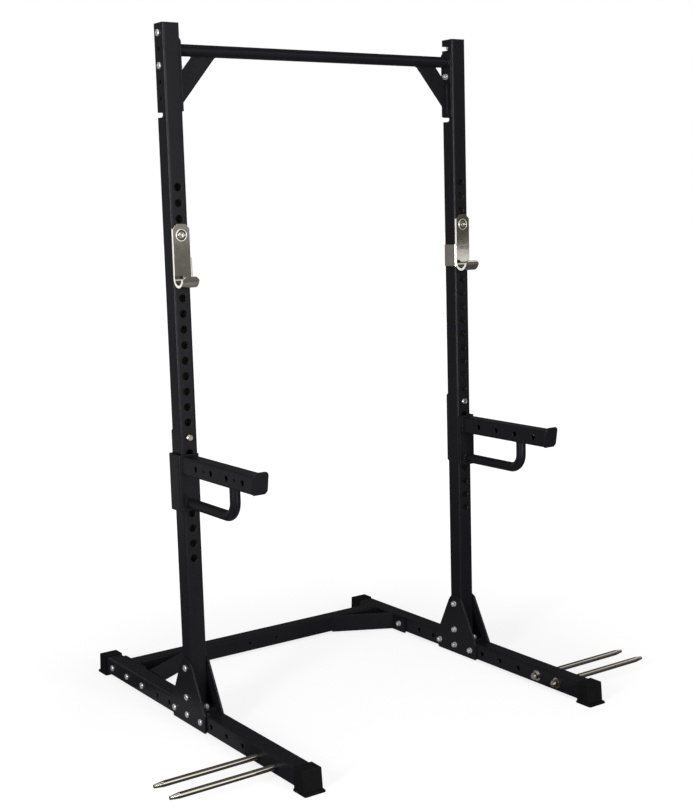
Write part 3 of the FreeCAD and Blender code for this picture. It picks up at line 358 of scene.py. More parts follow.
def root_tint_and_shade():
    """The root of a weld: a dull brown-grey ring that is partly heat tint and partly painted shade of the gap between
    pin and weld.
    """
    material, tree, shader = surface("weld_root_tint_and_painted_shade", Specular_IOR_Level=0.3)
    varied(tree, shader, grain(tree, 3 * MM), finishes().root_tint_and_shade_colour, (0.7, 1.3), (0.3, 0.45))
    return material


def bright_zinc():
    """Clear-passivated zinc plate on cold-headed steel: a cool, slightly milky brightness with a faint
    mottle."""
    material, tree, shader = surface("bright_zinc_plate", Metallic=0.7)
    varied(tree, shader, grain(tree, 4 * MM), finishes().zinc, (0.88, 1.0), (0.18, 0.28))
    bumped(tree, shader, grain(tree, 1 * MM), 0.02 * MM, 0.4)
    return material


# The lock pins' radius, the length of their chamfered nose and the height of their head
PIN, PIN_NOSE, PIN_HEAD = 12 * MM, 4.2 * MM, 8 * MM


def pin_steel():
    """Plated pin steel: warmer than the screws, with fine turning marks round its axis. Only the nose and the
    head are bright; the shank between them is painted near black and not metal, a painted shade in place of its
    reflections."""
    material, tree, shader = surface("plated_pin_steel")
    turning = grain(tree, 1.2 * MM, (25, 1, 25), detail=4.0)
    low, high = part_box("lock_pin_right")
    nose, head = low.y + PIN_NOSE, high.y - PIN_HEAD - 0.2 * MM
    # painted shade: 1 on the shank between nose and head, which is coloured near black and not metal
    painted_shank_shade = add_node(tree, "ShaderNodeMath", {
        0: place_along(tree, "Y"), 1: (nose + head) / 2, 2: (head - nose) / 2}, operation="COMPARE")
    fill(tree, shader, {"Roughness": spread(tree, turning, 0.22, 0.32)})
    patched(tree, shader, tinted(tree, turning, finishes().pin_steel, 0.9, 1.0), painted_shank_shade, finishes().painted_shank_shade)
    unmetalled(tree, shader, painted_shank_shade)
    bumped(tree, shader, turning, 0.01 * MM, 0.5)
    return material


# Each finish with its maker and the name of a slot for it
FINISHES = {
    "powder_coat": (powder_coat, "black_powder_coat"),
    "powder_coat_tube": (powder_coat_tube, "black_powder_coat"),
    "rubber": (moulded_rubber, "rubber_black"),
    "plastic": (moulded_plastic, "plastic_black"),
    "nickel": (bright_nickel, "bright_nickel"),
    "rod_nickel": (turned_nickel, "bright_nickel"),
    "weld_nickel": (weld_with_painted_highlight, "bright_nickel"),
    "root_tint_and_shade": (root_tint_and_shade, "bright_nickel"),
    "zinc": (bright_zinc, "bright_zinc"),
    "pin_steel": (pin_steel, "bright_zinc"),
}
# The finish of each CAD node whose name starts this way
NODE_FINISHES = {
    "foot_cap": "rubber",
    "upright_top_cap": "plastic",
    "spotter_liner": "plastic",
    "upright_left": "powder_coat_tube",
    "upright_right": "powder_coat_tube",
    "storage_rods": "rod_nickel",
    "rod_": "rod_nickel",
    "j_cup": "nickel",
    "lock_pin": "pin_steel",
}


@cache
def finish(name):
    """The material of a finish, made on first use."""
    return FINISHES[name][0]()


def finish_of(node):
    """The finish of a CAD node."""
    for start, name in NODE_FINISHES.items():
        if node.startswith(start):
            return name
    return "zinc" if node.endswith(("bolts", "nuts", "washers")) else "powder_coat"


# Meshes

def link(name, data):
    """A new object for a mesh, lamp or camera."""
    thing = bpy.data.objects.new(name, data)
    bpy.context.scene.collection.objects.link(thing)
    return thing


def plain_mesh(name, points, edges=(), faces=()):
    """A mesh of points, edges and faces."""
    mesh = bpy.data.meshes.new(name)
    mesh.from_pydata(points, edges, faces)
    return mesh


def smooth(mesh, steepest=35):
    """Shade a mesh smooth, with sharp edges where faces meet more steeply than an angle in degrees."""
    mesh.shade_smooth()
    mesh.set_sharp_from_angle(angle=math.radians(steepest))


def lofted(name, rows, closed=False):
    """A shell through rows of points; the last row meets the first if it is closed, and otherwise both are
    capped."""
    work = bmesh.new()
    rows = [[work.verts.new(point) for point in row] for row in rows]
    pairs = list(zip(rows, rows[1:] + rows[:1]))
    for low, high in pairs if closed else pairs[:-1]:
        for i in range(len(low)):
            j = (i + 1) % len(low)
            work.faces.new((low[i], low[j], high[j], high[i]))
    if not closed:
        work.faces.new(rows[0])
        work.faces.new(rows[-1])
    bmesh.ops.recalc_face_normals(work, faces=work.faces)
    mesh = bpy.data.meshes.new(name)
    work.to_mesh(mesh)
    work.free()
    smooth(mesh)
    return mesh


def ringed(name, rings, segments=48, closed=False):
    """A shell of rings round the Z axis, each of which gives a radius and a height at an angle."""
    rows = []
    for ring in rings:
        spots = [(turn, *ring(turn)) for turn in between(0, math.tau, segments)[:-1]]
        rows.append([(r * math.cos(t), r * math.sin(t), z) for t, r, z in spots])
    return lofted(name, rows, closed)


def circles(*spots):
    """Plain rings, each with its radius and height."""
    return [lambda turn, spot=spot: spot for spot in spots]


def hexagon_radius(flats, turn):
    """Distance from a hexagon's middle to its side in one direction."""
    return flats / 2 / math.cos((turn % (math.pi / 3)) - math.pi / 6)


def hexagon_ring(flats, height):
    """A hexagon, given by its width across flats."""
    return lambda turn: (hexagon_radius(flats, turn), height)


def thread_ring(radius, height, pitch, depth):
    """One ring of a screw thread, which climbs a pitch for each turn."""
    def ring(turn):
        share = (height / pitch - turn / math.tau) % 1
        return radius - depth * abs(2 * share - 1), height
    return ring


def threaded(radius, start, end, pitch, depth):
    """The rings of a threaded end, six to each thread, with its tip turned off."""
    steps = max(2, round((end - start) / pitch * 6))
    rings = [thread_ring(radius, height, pitch, depth) for height in between(start, end, steps)]
    return rings + circles((radius - depth * 1.2, end))


def dome(radius, flat, rise):
    """The rings of a domed head, from its flat top to the straight rim, a third of its height."""
    return circles(*((flat + (radius - flat) * math.sin(a), -rise + rise * 0.65 * (1 - math.cos(a)))
                     for a in between(0, math.pi / 2, 7)))


# Where the seat of a screw's head lies in its plain solid, the radius of its shank, the length of its threaded
# end and how far a machined edge is broken
SEAT, SHANK, THREADED, BROKEN = 5.5 * MM, 5 * MM, 6 * MM, 0.2 * MM


def screw(name, reach, head):
    """A button-head screw under its seat at the origin: dome and hexagon socket below, threaded end above."""
    sizes = hardware()
    rise, socket = sizes.head_rise, sizes.socket_flats
    corner = socket / 2 / math.cos(math.pi / 6)
    rings = [hexagon_ring(socket, -rise + sizes.socket_depth), hexagon_ring(socket, -rise + 0.4 * MM)]
    rings += circles((corner + 0.3 * MM, -rise))
    rings += dome(head, corner + 0.9 * MM, rise)
    rings += circles((head, -BROKEN), (head - BROKEN, 0), (SHANK, 0))
    rings += threaded(SHANK, reach - THREADED, reach, sizes.thread_pitch, sizes.thread_depth)
    return ringed(name, rings)


def hexagon_nut(name, flats, hole, height):
    """A hexagon nut from its seat at the origin upwards, its corners turned off by a cone of 30 degrees at both
    ends and its hole countersunk."""
    chamfer = hardware().nut_chamfer
    cone = flats / 2 - BROKEN

    def corners(low):
        def ring(turn):
            radius = hexagon_radius(flats, turn)
            drop = max(0.0, radius - cone) * 0.58 + 0.02 * MM
            return radius, drop if low else height - drop
        return ring
    rings = circles((hole, chamfer), (hole + chamfer, 0), (cone, 0)) + [corners(True), corners(False)]
    rings += circles((cone, height), (hole + chamfer, height), (hole, height - chamfer))
    return ringed(name, rings, closed=True)


def rounded_outline(width, height, corner):
    """Points round a rectangle with rounded corners, its middle below at the origin."""
    points = []
    for number, (side, level) in enumerate(((1, 0), (1, 1), (-1, 1), (-1, 0))):
        centre = (side * (width / 2 - corner), corner if level == 0 else height - corner)
        for turn in between(number - 1, number, 8):
            turn *= math.pi / 2
            points.append((centre[0] + corner * math.cos(turn), centre[1] + corner * math.sin(turn)))
    return points


def loose_solids(node):
    """Lowest and highest corner of each separate solid of a CAD node."""
    work = bmesh.new()
    work.from_mesh(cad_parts[node].data)
    bmesh.ops.remove_doubles(work, verts=work.verts, dist=1e-6)
    left = set(work.verts)
    boxes = []
    while left:
        found = [left.pop()]
        corners = []
        while found:
            vertex = found.pop()
            corners.append(vertex.co.copy())
            near = [edge.other_vert(vertex) for edge in vertex.link_edges]
            fresh = [other for other in near if other in left]
            left.difference_update(fresh)
            found += fresh
        boxes.append((Vector(map(min, zip(*corners))), Vector(map(max, zip(*corners)))))
    work.free()
    return sorted(boxes, key=lambda box: tuple(box[0]))


# Geometry Nodes

def node_tree(name, **sockets):
    """A Geometry Nodes tree with named inputs, and what it is given."""
    tree = bpy.data.node_groups.new(name, "GeometryNodeTree")
    tree.interface.new_socket("Geometry", in_out="INPUT", socket_type="NodeSocketGeometry")
    for label, kind in sockets.items():
        tree.interface.new_socket(label, in_out="INPUT", socket_type="NodeSocket" + kind)
    tree.interface.new_socket("Geometry", in_out="OUTPUT", socket_type="NodeSocketGeometry")
    return tree, add_node(tree, "NodeGroupInput").outputs


def end_tree(tree, given, geometry):
    """End a tree in real, finished geometry."""
    real = add_node(tree, "GeometryNodeRealizeInstances", {"Geometry": geometry})
    dressed = add_node(tree, "GeometryNodeSetMaterial", {"Geometry": real, "Material": given["Finish"]})
    add_node(tree, "NodeGroupOutput", {0: dressed})
    return tree


def fastening_tree():
    """Stand one fastening on every point of a mesh, facing the way the point's own attribute says."""
    tree, given = node_tree("Fastenings", Fastening="Object", Size="Float", Finish="Material")
    shape = add_node(tree, "GeometryNodeObjectInfo", {"Object": given["Fastening"]})
    facing = add_node(tree, "GeometryNodeInputNamedAttribute", {"Name": "facing"}, data_type="FLOAT_VECTOR")
    turn = add_node(tree, "FunctionNodeAlignRotationToVector", {"Vector": facing}, axis="Z")
    stood = add_node(tree, "GeometryNodeInstanceOnPoints", {
        "Points": given["Geometry"], "Instance": shape.outputs["Geometry"], "Rotation": turn, "Scale": given["Size"]})
    return end_tree(tree, given, stood)


def weld_tree():
    """Lay ripples of weld along the edges of a mesh, each a little more than two ripples long, so that they
    overlap, and of its own width."""
    tree, given = node_tree("Weld beads", Ripple="Float", Width="Float", Seed="Int", Finish="Material")
    path = add_node(tree, "GeometryNodeMeshToCurve", {"Mesh": given["Geometry"]})
    steps = add_node(tree, "GeometryNodeResampleCurve", {"Curve": path, "Length": given["Ripple"]}, mode="LENGTH")
    blob = add_node(tree, "GeometryNodeMeshUVSphere", {"Segments": 8, "Rings": 5, "Radius": 0.5})
    soft = add_node(tree, "GeometryNodeSetShadeSmooth", {"Geometry": blob, "Shade Smooth": True})
    along = add_node(tree, "GeometryNodeInputTangent")
    turn = add_node(tree, "FunctionNodeAlignRotationToVector", {"Vector": along}, axis="X")
    chance = add_node(tree, "FunctionNodeRandomValue", {"Min": 0.88, "Max": 1.1, "Seed": given["Seed"]},
                      data_type="FLOAT")
    across = add_node(tree, "ShaderNodeMath", {0: given["Width"], 1: chance.outputs["Value"]}, operation="MULTIPLY")
    lengthwise = add_node(tree, "ShaderNodeMath", {0: given["Ripple"], 1: 2.2}, operation="MULTIPLY")
    size = add_node(tree, "ShaderNodeCombineXYZ", {"X": lengthwise, "Y": across, "Z": across})
    laid = add_node(tree, "GeometryNodeInstanceOnPoints", {
        "Points": steps, "Instance": soft, "Rotation": turn, "Scale": size})
    return end_tree(tree, given, laid)


def bent_bar_tree():
    """Bend a round bar along the edges of a mesh, with one bend radius."""
    tree, given = node_tree("Bent bar", Diameter="Float", Bend="Float", Sides="Int", Finish="Material")
    path = add_node(tree, "GeometryNodeMeshToCurve", {"Mesh": given["Geometry"]})
    bend = add_node(tree, "GeometryNodeFilletCurve", {
        "Curve": path, "Count": 12, "Radius": given["Bend"]}, mode="POLY")
    half = add_node(tree, "ShaderNodeMath", {0: given["Diameter"], 1: 0.5}, operation="MULTIPLY")
    section = add_node(tree, "GeometryNodeCurvePrimitiveCircle", {
        "Resolution": given["Sides"], "Radius": half}, mode="RADIUS")
    bar = add_node(tree, "GeometryNodeCurveToMesh", {"Curve": bend, "Profile Curve": section, "Fill Caps": True})
    return end_tree(tree, given, bar)


def grow(name, base, tree, **inputs):
    """Run a tree on a base mesh and keep the result as a plain mesh."""
    carrier = link(name + "_base", base)
    modifier = carrier.modifiers.new("Nodes", "NODES")
    modifier.node_group = tree
    sockets = {item.name: item.identifier for item in tree.interface.items_tree if item.in_out == "INPUT"}
    for label, setting in inputs.items():
        modifier[sockets[label]] = setting
    carrier.update_tag()
    bpy.context.view_layer.update()
    shown = carrier.evaluated_get(bpy.context.evaluated_depsgraph_get())
    mesh = bpy.data.meshes.new_from_object(shown)
    bpy.data.objects.remove(carrier)
    if not mesh.polygons:
        raise RuntimeError(name + " came out empty")
    mesh.name = name
    return mesh


def piece(name, mesh, body, replaced=()):
    """Put a finished mesh on its CAD body, in place of CAD nodes."""
    thing = link(name, mesh)
    if replaced:
        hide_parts(*replaced)
    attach(thing, body)


def stand(name, shape, spots, body, finish_name, replaced=()):
    """Stand a shape on a body at every spot, each a place and the way that the shape's Z axis faces."""
    points = plain_mesh(name + "_spots", [place for place, facing in spots])
    ways = points.attributes.new("facing", "FLOAT_VECTOR", "POINT")
    ways.data.foreach_set("vector", [number for place, facing in spots for number in facing])
    master = link(name + "_master", shape)
    mesh = grow(name, points, fastening_tree(), Fastening=master, Size=1.0, Finish=finish(finish_name))
    bpy.data.objects.remove(master)
    piece(name, mesh, body, replaced)


def paths_mesh(name, paths):
    """A mesh of edges along several paths, each a list of points and whether it closes."""
    points, edges = [], []
    for path, closed in paths:
        first = len(points)
        points += path
        edges += [(first + i, first + i + 1) for i in range(len(path) - 1)]
        if closed:
            edges.append((len(points) - 1, first))
    return plain_mesh(name + "_paths", points, edges)


def ends_across(low, high):
    """The distances from the middle of the rack to the inner and the outer end of a box."""
    return sorted((abs(low.x), abs(high.x)))


def fastenings(node, seat=0.0):
    """How wide, tall and long the fastenings of a node are, and the spots where they stand: at a distance from
    the outer end of each, facing inwards across the rack, or from its foot, facing up."""
    boxes = loose_solids(node)
    size = boxes[0][1] - boxes[0][0]
    spots = []
    for low, high in boxes:
        middle = (low + high) / 2
        side = math.copysign(1, middle.x)
        if node.startswith("foot_plate"):
            spots.append(((middle.x, middle.y, low.z + seat), (0, 0, 1)))
        else:
            spots.append(((side * (ends_across(low, high)[1] - seat), middle.y, middle.z), (-side, 0, 0)))
    return (size.y, size.x, size.z) if node.startswith("foot_plate") else (size.y, size.z, size.x), spots


# Operators

class RACK_OT_finishes(bpy.types.Operator):
    """Give every CAD node its finish"""
    bl_idname = "rack.finishes"
    bl_label = "Finishes"

    def execute(self, context):
        for node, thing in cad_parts.items():
            thing.data.materials.clear()
            thing.data.materials.append(finish(finish_of(node)))
        return {"FINISHED"}


class RACK_OT_screws(bpy.types.Operator):
    """Make the button-head screws with their sockets and threaded ends"""
    bl_idname = "rack.screws"
    bl_label = "Screws"

    def execute(self, context):
        for node in ("gusset_bolts", "crossmember_bolts", "rear_brace_bolts", "pull_up_bolts", "hanger_bolts",
                     "foot_plate_bolts"):
            (wide, tall, long), spots = fastenings(node, SEAT)
            shape = screw(node, long - SEAT, wide / 2 + hardware().head_flare)
            stand(node + "_dressed", shape, spots, "frame", "zinc", [node])
        return {"FINISHED"}


class RACK_OT_nuts(bpy.types.Operator):
    """Make the hexagon nuts with turned-off corners"""
    bl_idname = "rack.nuts"
    bl_label = "Nuts"

    def execute(self, context):
        for node in ("gusset_nuts", "crossmember_nuts", "rear_brace_nuts", "pull_up_nuts", "hanger_nuts", "rod_nuts",
                     "foot_plate_nuts"):
            (wide, tall, long), spots = fastenings(node)
            hole, finish_name = (8.1 * MM, "rod_nickel") if node == "rod_nuts" else (SHANK + 0.1 * MM, "zinc")
            shape = hexagon_nut(node, min(wide, tall), hole, long)
            stand(node + "_dressed", shape, spots, "frame", finish_name, [node])
        return {"FINISHED"}


class RACK_OT_rod_threads(bpy.types.Operator):
    """Cut the thread on the end of each storage rod, past its nut"""
    bl_idname = "rack.rod_threads"
    bl_label = "Rod threads"
    radius, reach, pitch = 8.25 * MM, 8 * MM, 2 * MM

    def execute(self, context):
        spots = []
        for name, side in SIDES.items():
            for low, high in loose_solids("storage_rods_" + name):
                middle = (low + high) / 2
                spots.append(((side * ends_across(low, high)[0], middle.y, middle.z), (side, 0, 0)))
        rings = circles((7 * MM, -0.3 * MM))
        rings += threaded(self.radius, 0, self.reach, self.pitch, hardware().thread_depth)
        stand("rod_threads", ringed("rod_thread", rings), spots, "frame", "rod_nickel")
        return {"FINISHED"}


def turned(name, rings, spot, body, finish_name, replaced=(), closed=False):
    """Stand a turned shape on a body, its own Z axis backwards into the rack."""
    stand(name, ringed(name + "_shape", rings, closed=closed), [(spot, (0, 1, 0))], body, finish_name, replaced)


class RACK_OT_pins(bpy.types.Operator):
    """Turn the lock pins with their faced noses, and the pins and weld rings of the J-cups"""
    bl_idname = "rack.pins"
    bl_label = "Pins"

    def execute(self, context):
        for side in SIDES:
            self.lock_pin(side)
            self.cup_pin(side)
        return {"FINISHED"}

    def lock_pin(self, side):
        """A pin with a chamfered, faced nose and a low head with a rounded rim."""
        low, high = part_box("lock_pin_" + side)
        middle = (low + high) / 2
        head, end = (high.x - low.x) / 2, high.y - low.y
        under = end - PIN_HEAD
        rings = circles((6.6 * MM, 0.3 * MM), (7 * MM, 0), (8.4 * MM, 0), (9 * MM, 0.4 * MM), (11.6 * MM, 3.3 * MM),
                        (PIN, PIN_NOSE), (PIN, under), (head - 1 * MM, under), (head, under + 1 * MM),
                        (head, end - 2 * MM), (head - 0.6 * MM, end - 0.6 * MM), (head - 2 * MM, end))
        turned("lock_pin_turned_" + side, rings, (middle.x, low.y, middle.z), "lock_" + side, "pin_steel",
               ["lock_pin_" + side])

    def cup_pin(self, side):
        """The J-cup's pin with two grooves in its faced end, the ring of weld that holds it in the plate and the
        weld's darker root, whose colour is partly heat tint and partly painted shade."""
        low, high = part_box("j_cup_pin_" + side)
        middle = (low + high) / 2
        pin, end = (high.x - low.x) / 2, high.y - low.y
        rings = circles((1.6 * MM, 0.9 * MM), (2.4 * MM, 0.2 * MM))
        for groove in (4.5, 8.0):
            rings += circles(((groove - 0.5) * MM, 0), (groove * MM, 0.4 * MM), ((groove + 0.5) * MM, 0))
        rings += circles((pin - 1 * MM, 0), (pin, 1 * MM), (pin, end - 2 * MM), (pin - 2 * MM, end))
        spot, body = (middle.x, low.y, middle.z), f"j_cup_{side}_assembly"
        turned("j_cup_pin_turned_" + side, rings, spot, body, "nickel", ["j_cup_pin_" + side])
        for name, finish_name, radius, level, wide, tall in (
                ("j_cup_weld_", "weld_nickel", 18.2, 1.5, 1.2, 1.2),
                ("j_cup_weld_root_", "root_tint_and_shade", 14.1, 0.3, 1.9, 0.7)):
            bead = circles(*(((radius + wide * math.cos(turn)) * MM, (level + tall * math.sin(turn)) * MM)
                             for turn in between(0, math.tau, 16)[:-1]))
            turned(name + side, bead, spot, body, finish_name, closed=True)


class RACK_OT_detent_balls(bpy.types.Operator):
    """Set a spring-loaded ball into the side of each lock pin"""
    bl_idname = "rack.detent_balls"
    bl_label = "Detent balls"
    behind_nose, sunk = 7.5 * MM, 0.6 * MM

    def execute(self, context):
        radius = hardware().ball / 2
        rings = circles((radius, -self.sunk))
        rings += circles(*((radius * math.cos(a), radius * 0.8 * math.sin(a))
                           for a in between(0, math.pi / 2, 6)[:-1]))
        for side in SIDES:
            low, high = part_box("lock_pin_" + side)
            middle = (low + high) / 2
            spot = (middle.x - PIN, low.y + self.behind_nose, middle.z)
            stand("detent_ball_" + side, ringed("ball", rings, segments=24), [(spot, (-1, 0, 0))], "lock_" + side,
                  "zinc")
        return {"FINISHED"}


class RACK_OT_stop_plates(bpy.types.Operator):
    """Cut the stop plates of the spotter arms with round corners and softened rims"""
    bl_idname = "rack.stop_plates"
    bl_label = "Stop plates"

    def execute(self, context):
        sizes = hardware()
        plate, rim = sizes.stop_plate, sizes.stop_rim
        for side in SIDES:
            node = "spotter_end_plate_" + side
            low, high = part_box(node)
            middle, tall = (low.x + high.x) / 2, high.z - low.z
            lean = (high.y - low.y - plate) / tall
            rows = []
            for inset, depth in ((rim, 0), (0, rim), (0, plate - rim), (rim, plate)):
                outline = rounded_outline(high.x - low.x - 2 * inset, tall - 2 * inset, sizes.stop_corner - inset)
                rows.append([(middle + x, high.y - depth - lean * (z + inset), low.z + z + inset)
                             for x, z in outline])
            mesh = lofted("spotter_stop_" + side, rows)
            mesh.materials.append(finish("powder_coat"))
            piece("spotter_stop_" + side, mesh, "spotter_" + side, [node])
        return {"FINISHED"}


class RACK_OT_handles(bpy.types.Operator):
    """Bend the spotter handles from round bar"""
    bl_idname = "rack.handles"
    bl_label = "Spotter handles"

    def execute(self, context):
        sizes = hardware()
        for side in SIDES:
            node, name = "spotter_handle_" + side, "spotter_handle_bar_" + side
            low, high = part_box(node)
            x, half = (low.x + high.x) / 2, (high.x - low.x) / 2
            path = [(x, high.y, low.z + half), (x, low.y + half, low.z + half), (x, low.y + half, high.z)]
            mesh = grow(name, paths_mesh(name, [(path, False)]), bent_bar_tree(), Diameter=2 * half,
                        Bend=sizes.handle_bend, Sides=sizes.bar_sides, Finish=finish("powder_coat"))
            smooth(mesh, 50)
            piece(name, mesh, "spotter_" + side, [node])
        return {"FINISHED"}


def line(start, end):
    """An open path of two points."""
    return [start, end], False


def circle_path(centre, radius, axis):
    """A closed circle of points round an axis, 0 for X, 1 for Y and 2 for Z."""
    path = []
    for turn in between(0, math.tau, 24)[:-1]:
        point = [radius * math.cos(turn), radius * math.sin(turn)]
        point.insert(axis, 0.0)
        path.append(tuple(Vector(centre) + Vector(point)))
    return path, True


def frame_welds():
    """Where the frame's pieces are welded to each other: the uprights' feet, the crossmember, the pull-up bar and
    the edges of the braces."""
    foot_half, brace_edge = 22 * MM, 82 * MM
    paths = []
    bar_low, bar_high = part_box("pull_up_bar")
    bar = (bar_low + bar_high) / 2
    bar_radius = (bar_high.z - bar_low.z) / 2
    cross_low, cross_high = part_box("rear_crossmember")
    for name, side in SIDES.items():
        low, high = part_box("upright_" + name)
        middle = (low.x + high.x) / 2
        for y in (low.y, high.y):
            paths.append(line((middle - foot_half, y, low.z), (middle + foot_half, y, low.z)))
        x = side * cross_high.x
        for y in (cross_low.y, cross_high.y):
            paths.append(line((x, y, cross_low.z + 6 * MM), (x, y, cross_high.z - 6 * MM)))
        paths.append(circle_path((side * bar_high.x, bar.y, bar.z), bar_radius, 0))
        low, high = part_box("pull_up_brace_" + name)
        inner, outer = ends_across(low, high)
        slope = (high.z - low.z) / (outer - inner)
        for y in (low.y, high.y):
            paths.append(line((side * inner, y, high.z), (side * (inner + brace_edge), y, high.z)))
            paths.append(line((side * outer, y, low.z), (side * outer, y, low.z + brace_edge * slope)))
        low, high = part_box("rear_brace_" + name)
        x = side * ends_across(low, high)[0]
        paths.append(line((x, high.y, low.z + 3 * MM), (x, high.y, cross_high.z)))
    return paths


def spotter_welds(side):
    """Where a spotter's arm is welded to its bracket, its handle to both, and its stop plate, which leans, to the
    arm."""
    low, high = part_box("spotter_arm_" + side)
    grip_low, grip_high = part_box("spotter_handle_" + side)
    half = (grip_high.x - grip_low.x) / 2
    middle = (grip_low.x + grip_high.x) / 2
    root, corner, lean = high.y, 5 * MM, 9 * MM
    foot = low.y + lean
    paths = [line((x, root, low.z + corner), (x, root, high.z - corner)) for x in (low.x, high.x)]
    paths += [line((low.x + corner, root, z), (high.x - corner, root, z)) for z in (low.z, high.z)]
    paths.append(circle_path((middle, root, grip_low.z + half), half, 1))
    paths.append(circle_path((middle, grip_low.y + half, low.z), half, 2))
    paths += [line((x, foot, low.z + corner), (x, foot - lean * 0.9, high.z - corner)) for x in (low.x, high.x)]
    paths += [line((low.x + corner, y, z), (high.x - corner, y, z)) for y, z in ((foot, low.z), (low.y, high.z))]
    return paths


class RACK_OT_welds(bpy.types.Operator):
    """Lay the weld beads of the frame and of both spotters"""
    bl_idname = "rack.welds"
    bl_label = "Welds"

    def execute(self, context):
        sizes = hardware()
        for name, body, paths in (("frame_welds", "frame", frame_welds()),
                                  ("spotter_welds_left", "spotter_left", spotter_welds("left")),
                                  ("spotter_welds_right", "spotter_right", spotter_welds("right"))):
            mesh = grow(name, paths_mesh(name, paths), weld_tree(), Ripple=sizes.bead_ripple,
                        Width=sizes.bead_width, Seed=7, Finish=finish("powder_coat"))
            piece(name, mesh, body)
        return {"FINISHED"}


# Studio

# Glowing flags round the rack, seen only in reflections, where they paint darker and lighter bands onto the
#  metal and gloss: name, first and last bearing from the front towards the right in degrees, foot and top, and
#      brightness as a share of the flags' shade
FLAGS = (
    ("flag_front_low", 16, 34, 0.02, 1.46, 1.0),
    ("flag_front_light", 16, 34, 1.46, 1.75, 2.0),
    ("flag_front_high", 16, 34, 1.75, 3.2, 1.0),
    ("flag_right_low", 34, 80, 0.02, 1.13, 0.6),
    ("flag_right_high", 34, 80, 1.35, 3.2, 0.5),
    ("flag_back_right", 105, 175, 0.02, 8.0, 0.35),
    ("flag_back_left_low", 185, 262, 0.02, 0.9, 0.8),
    ("flag_back_left_light", 185, 262, 0.9, 1.6, 1.3),
    ("flag_back_left_high", 185, 262, 1.6, 6.0, 0.9),
)
FLAG_REACH = 6.0
# Glowing cloths that lie flat, seen only in reflections, painting the reflected floor and ceiling: name, bearings,
# height, inner and outer reach, and share
CLOTHS = (
    ("cloth_front", -20, 34, 0.01, 1.4, 3.2, 0.9),
    ("cloth_round", 34, 340, 0.01, 1.4, 3.2, 0.5),
    ("cloth_rods_left", -80, -25, 0.01, 0.7, 1.4, 0.3),
    ("cloth_rods_right", 25, 80, 0.01, 0.7, 1.4, 0.3),
    ("cloth_near_front", -24, 34, 0.01, 0.75, 1.4, 1.5),
    ("cloth_near_left", 185, 262, 0.01, 0.75, 1.4, 0.3),
    ("cloth_far", -98, 185, 0.01, 3.2, FLAG_REACH, 1.0),
    ("cloth_far_left", 185, 262, 0.01, 3.2, FLAG_REACH, 1.8),
    ("cloth_overhead", 0, 360, 5.2, 0.01, FLAG_REACH, 0.5),
)
# A glowing white card in front, seen only in reflections, that paints the bright band onto the storage rods:
# bearings, reach, foot and top
CARD = (-11, 5, 1.9, 0.02, 1.9)
FLOOR_REACH = 60
FLOOR_COLOUR = "#898989"
# From the first to the second distance from the rack's middle, the floor's own glow rises to white
GLOW_STARTS, GLOW_FULL = 0.9, 2.3


def lamp(name, place, target, size, watts):
    """A rectangular softbox aimed at a point."""
    data = bpy.data.lights.new(name, "AREA")
    data.shape = "RECTANGLE"
    data.size, data.size_y = size
    data.energy = watts
    thing = link(name, data)
    thing.location = place
    thing.rotation_euler = (Vector(target) - Vector(place)).to_track_quat("-Z", "Y").to_euler()
    thing.visible_camera = False


def seen_directly(tree):
    """1 for rays from the camera, off a mirror or through glass, and otherwise 0."""
    path = add_node(tree, "ShaderNodeLightPath").outputs
    either = add_node(tree, "ShaderNodeMath", {0: path["Is Camera Ray"], 1: path["Is Glossy Ray"]},
                      operation="MAXIMUM")
    return add_node(tree, "ShaderNodeMath", {0: either, 1: path["Is Transmission Ray"]}, operation="MAXIMUM")


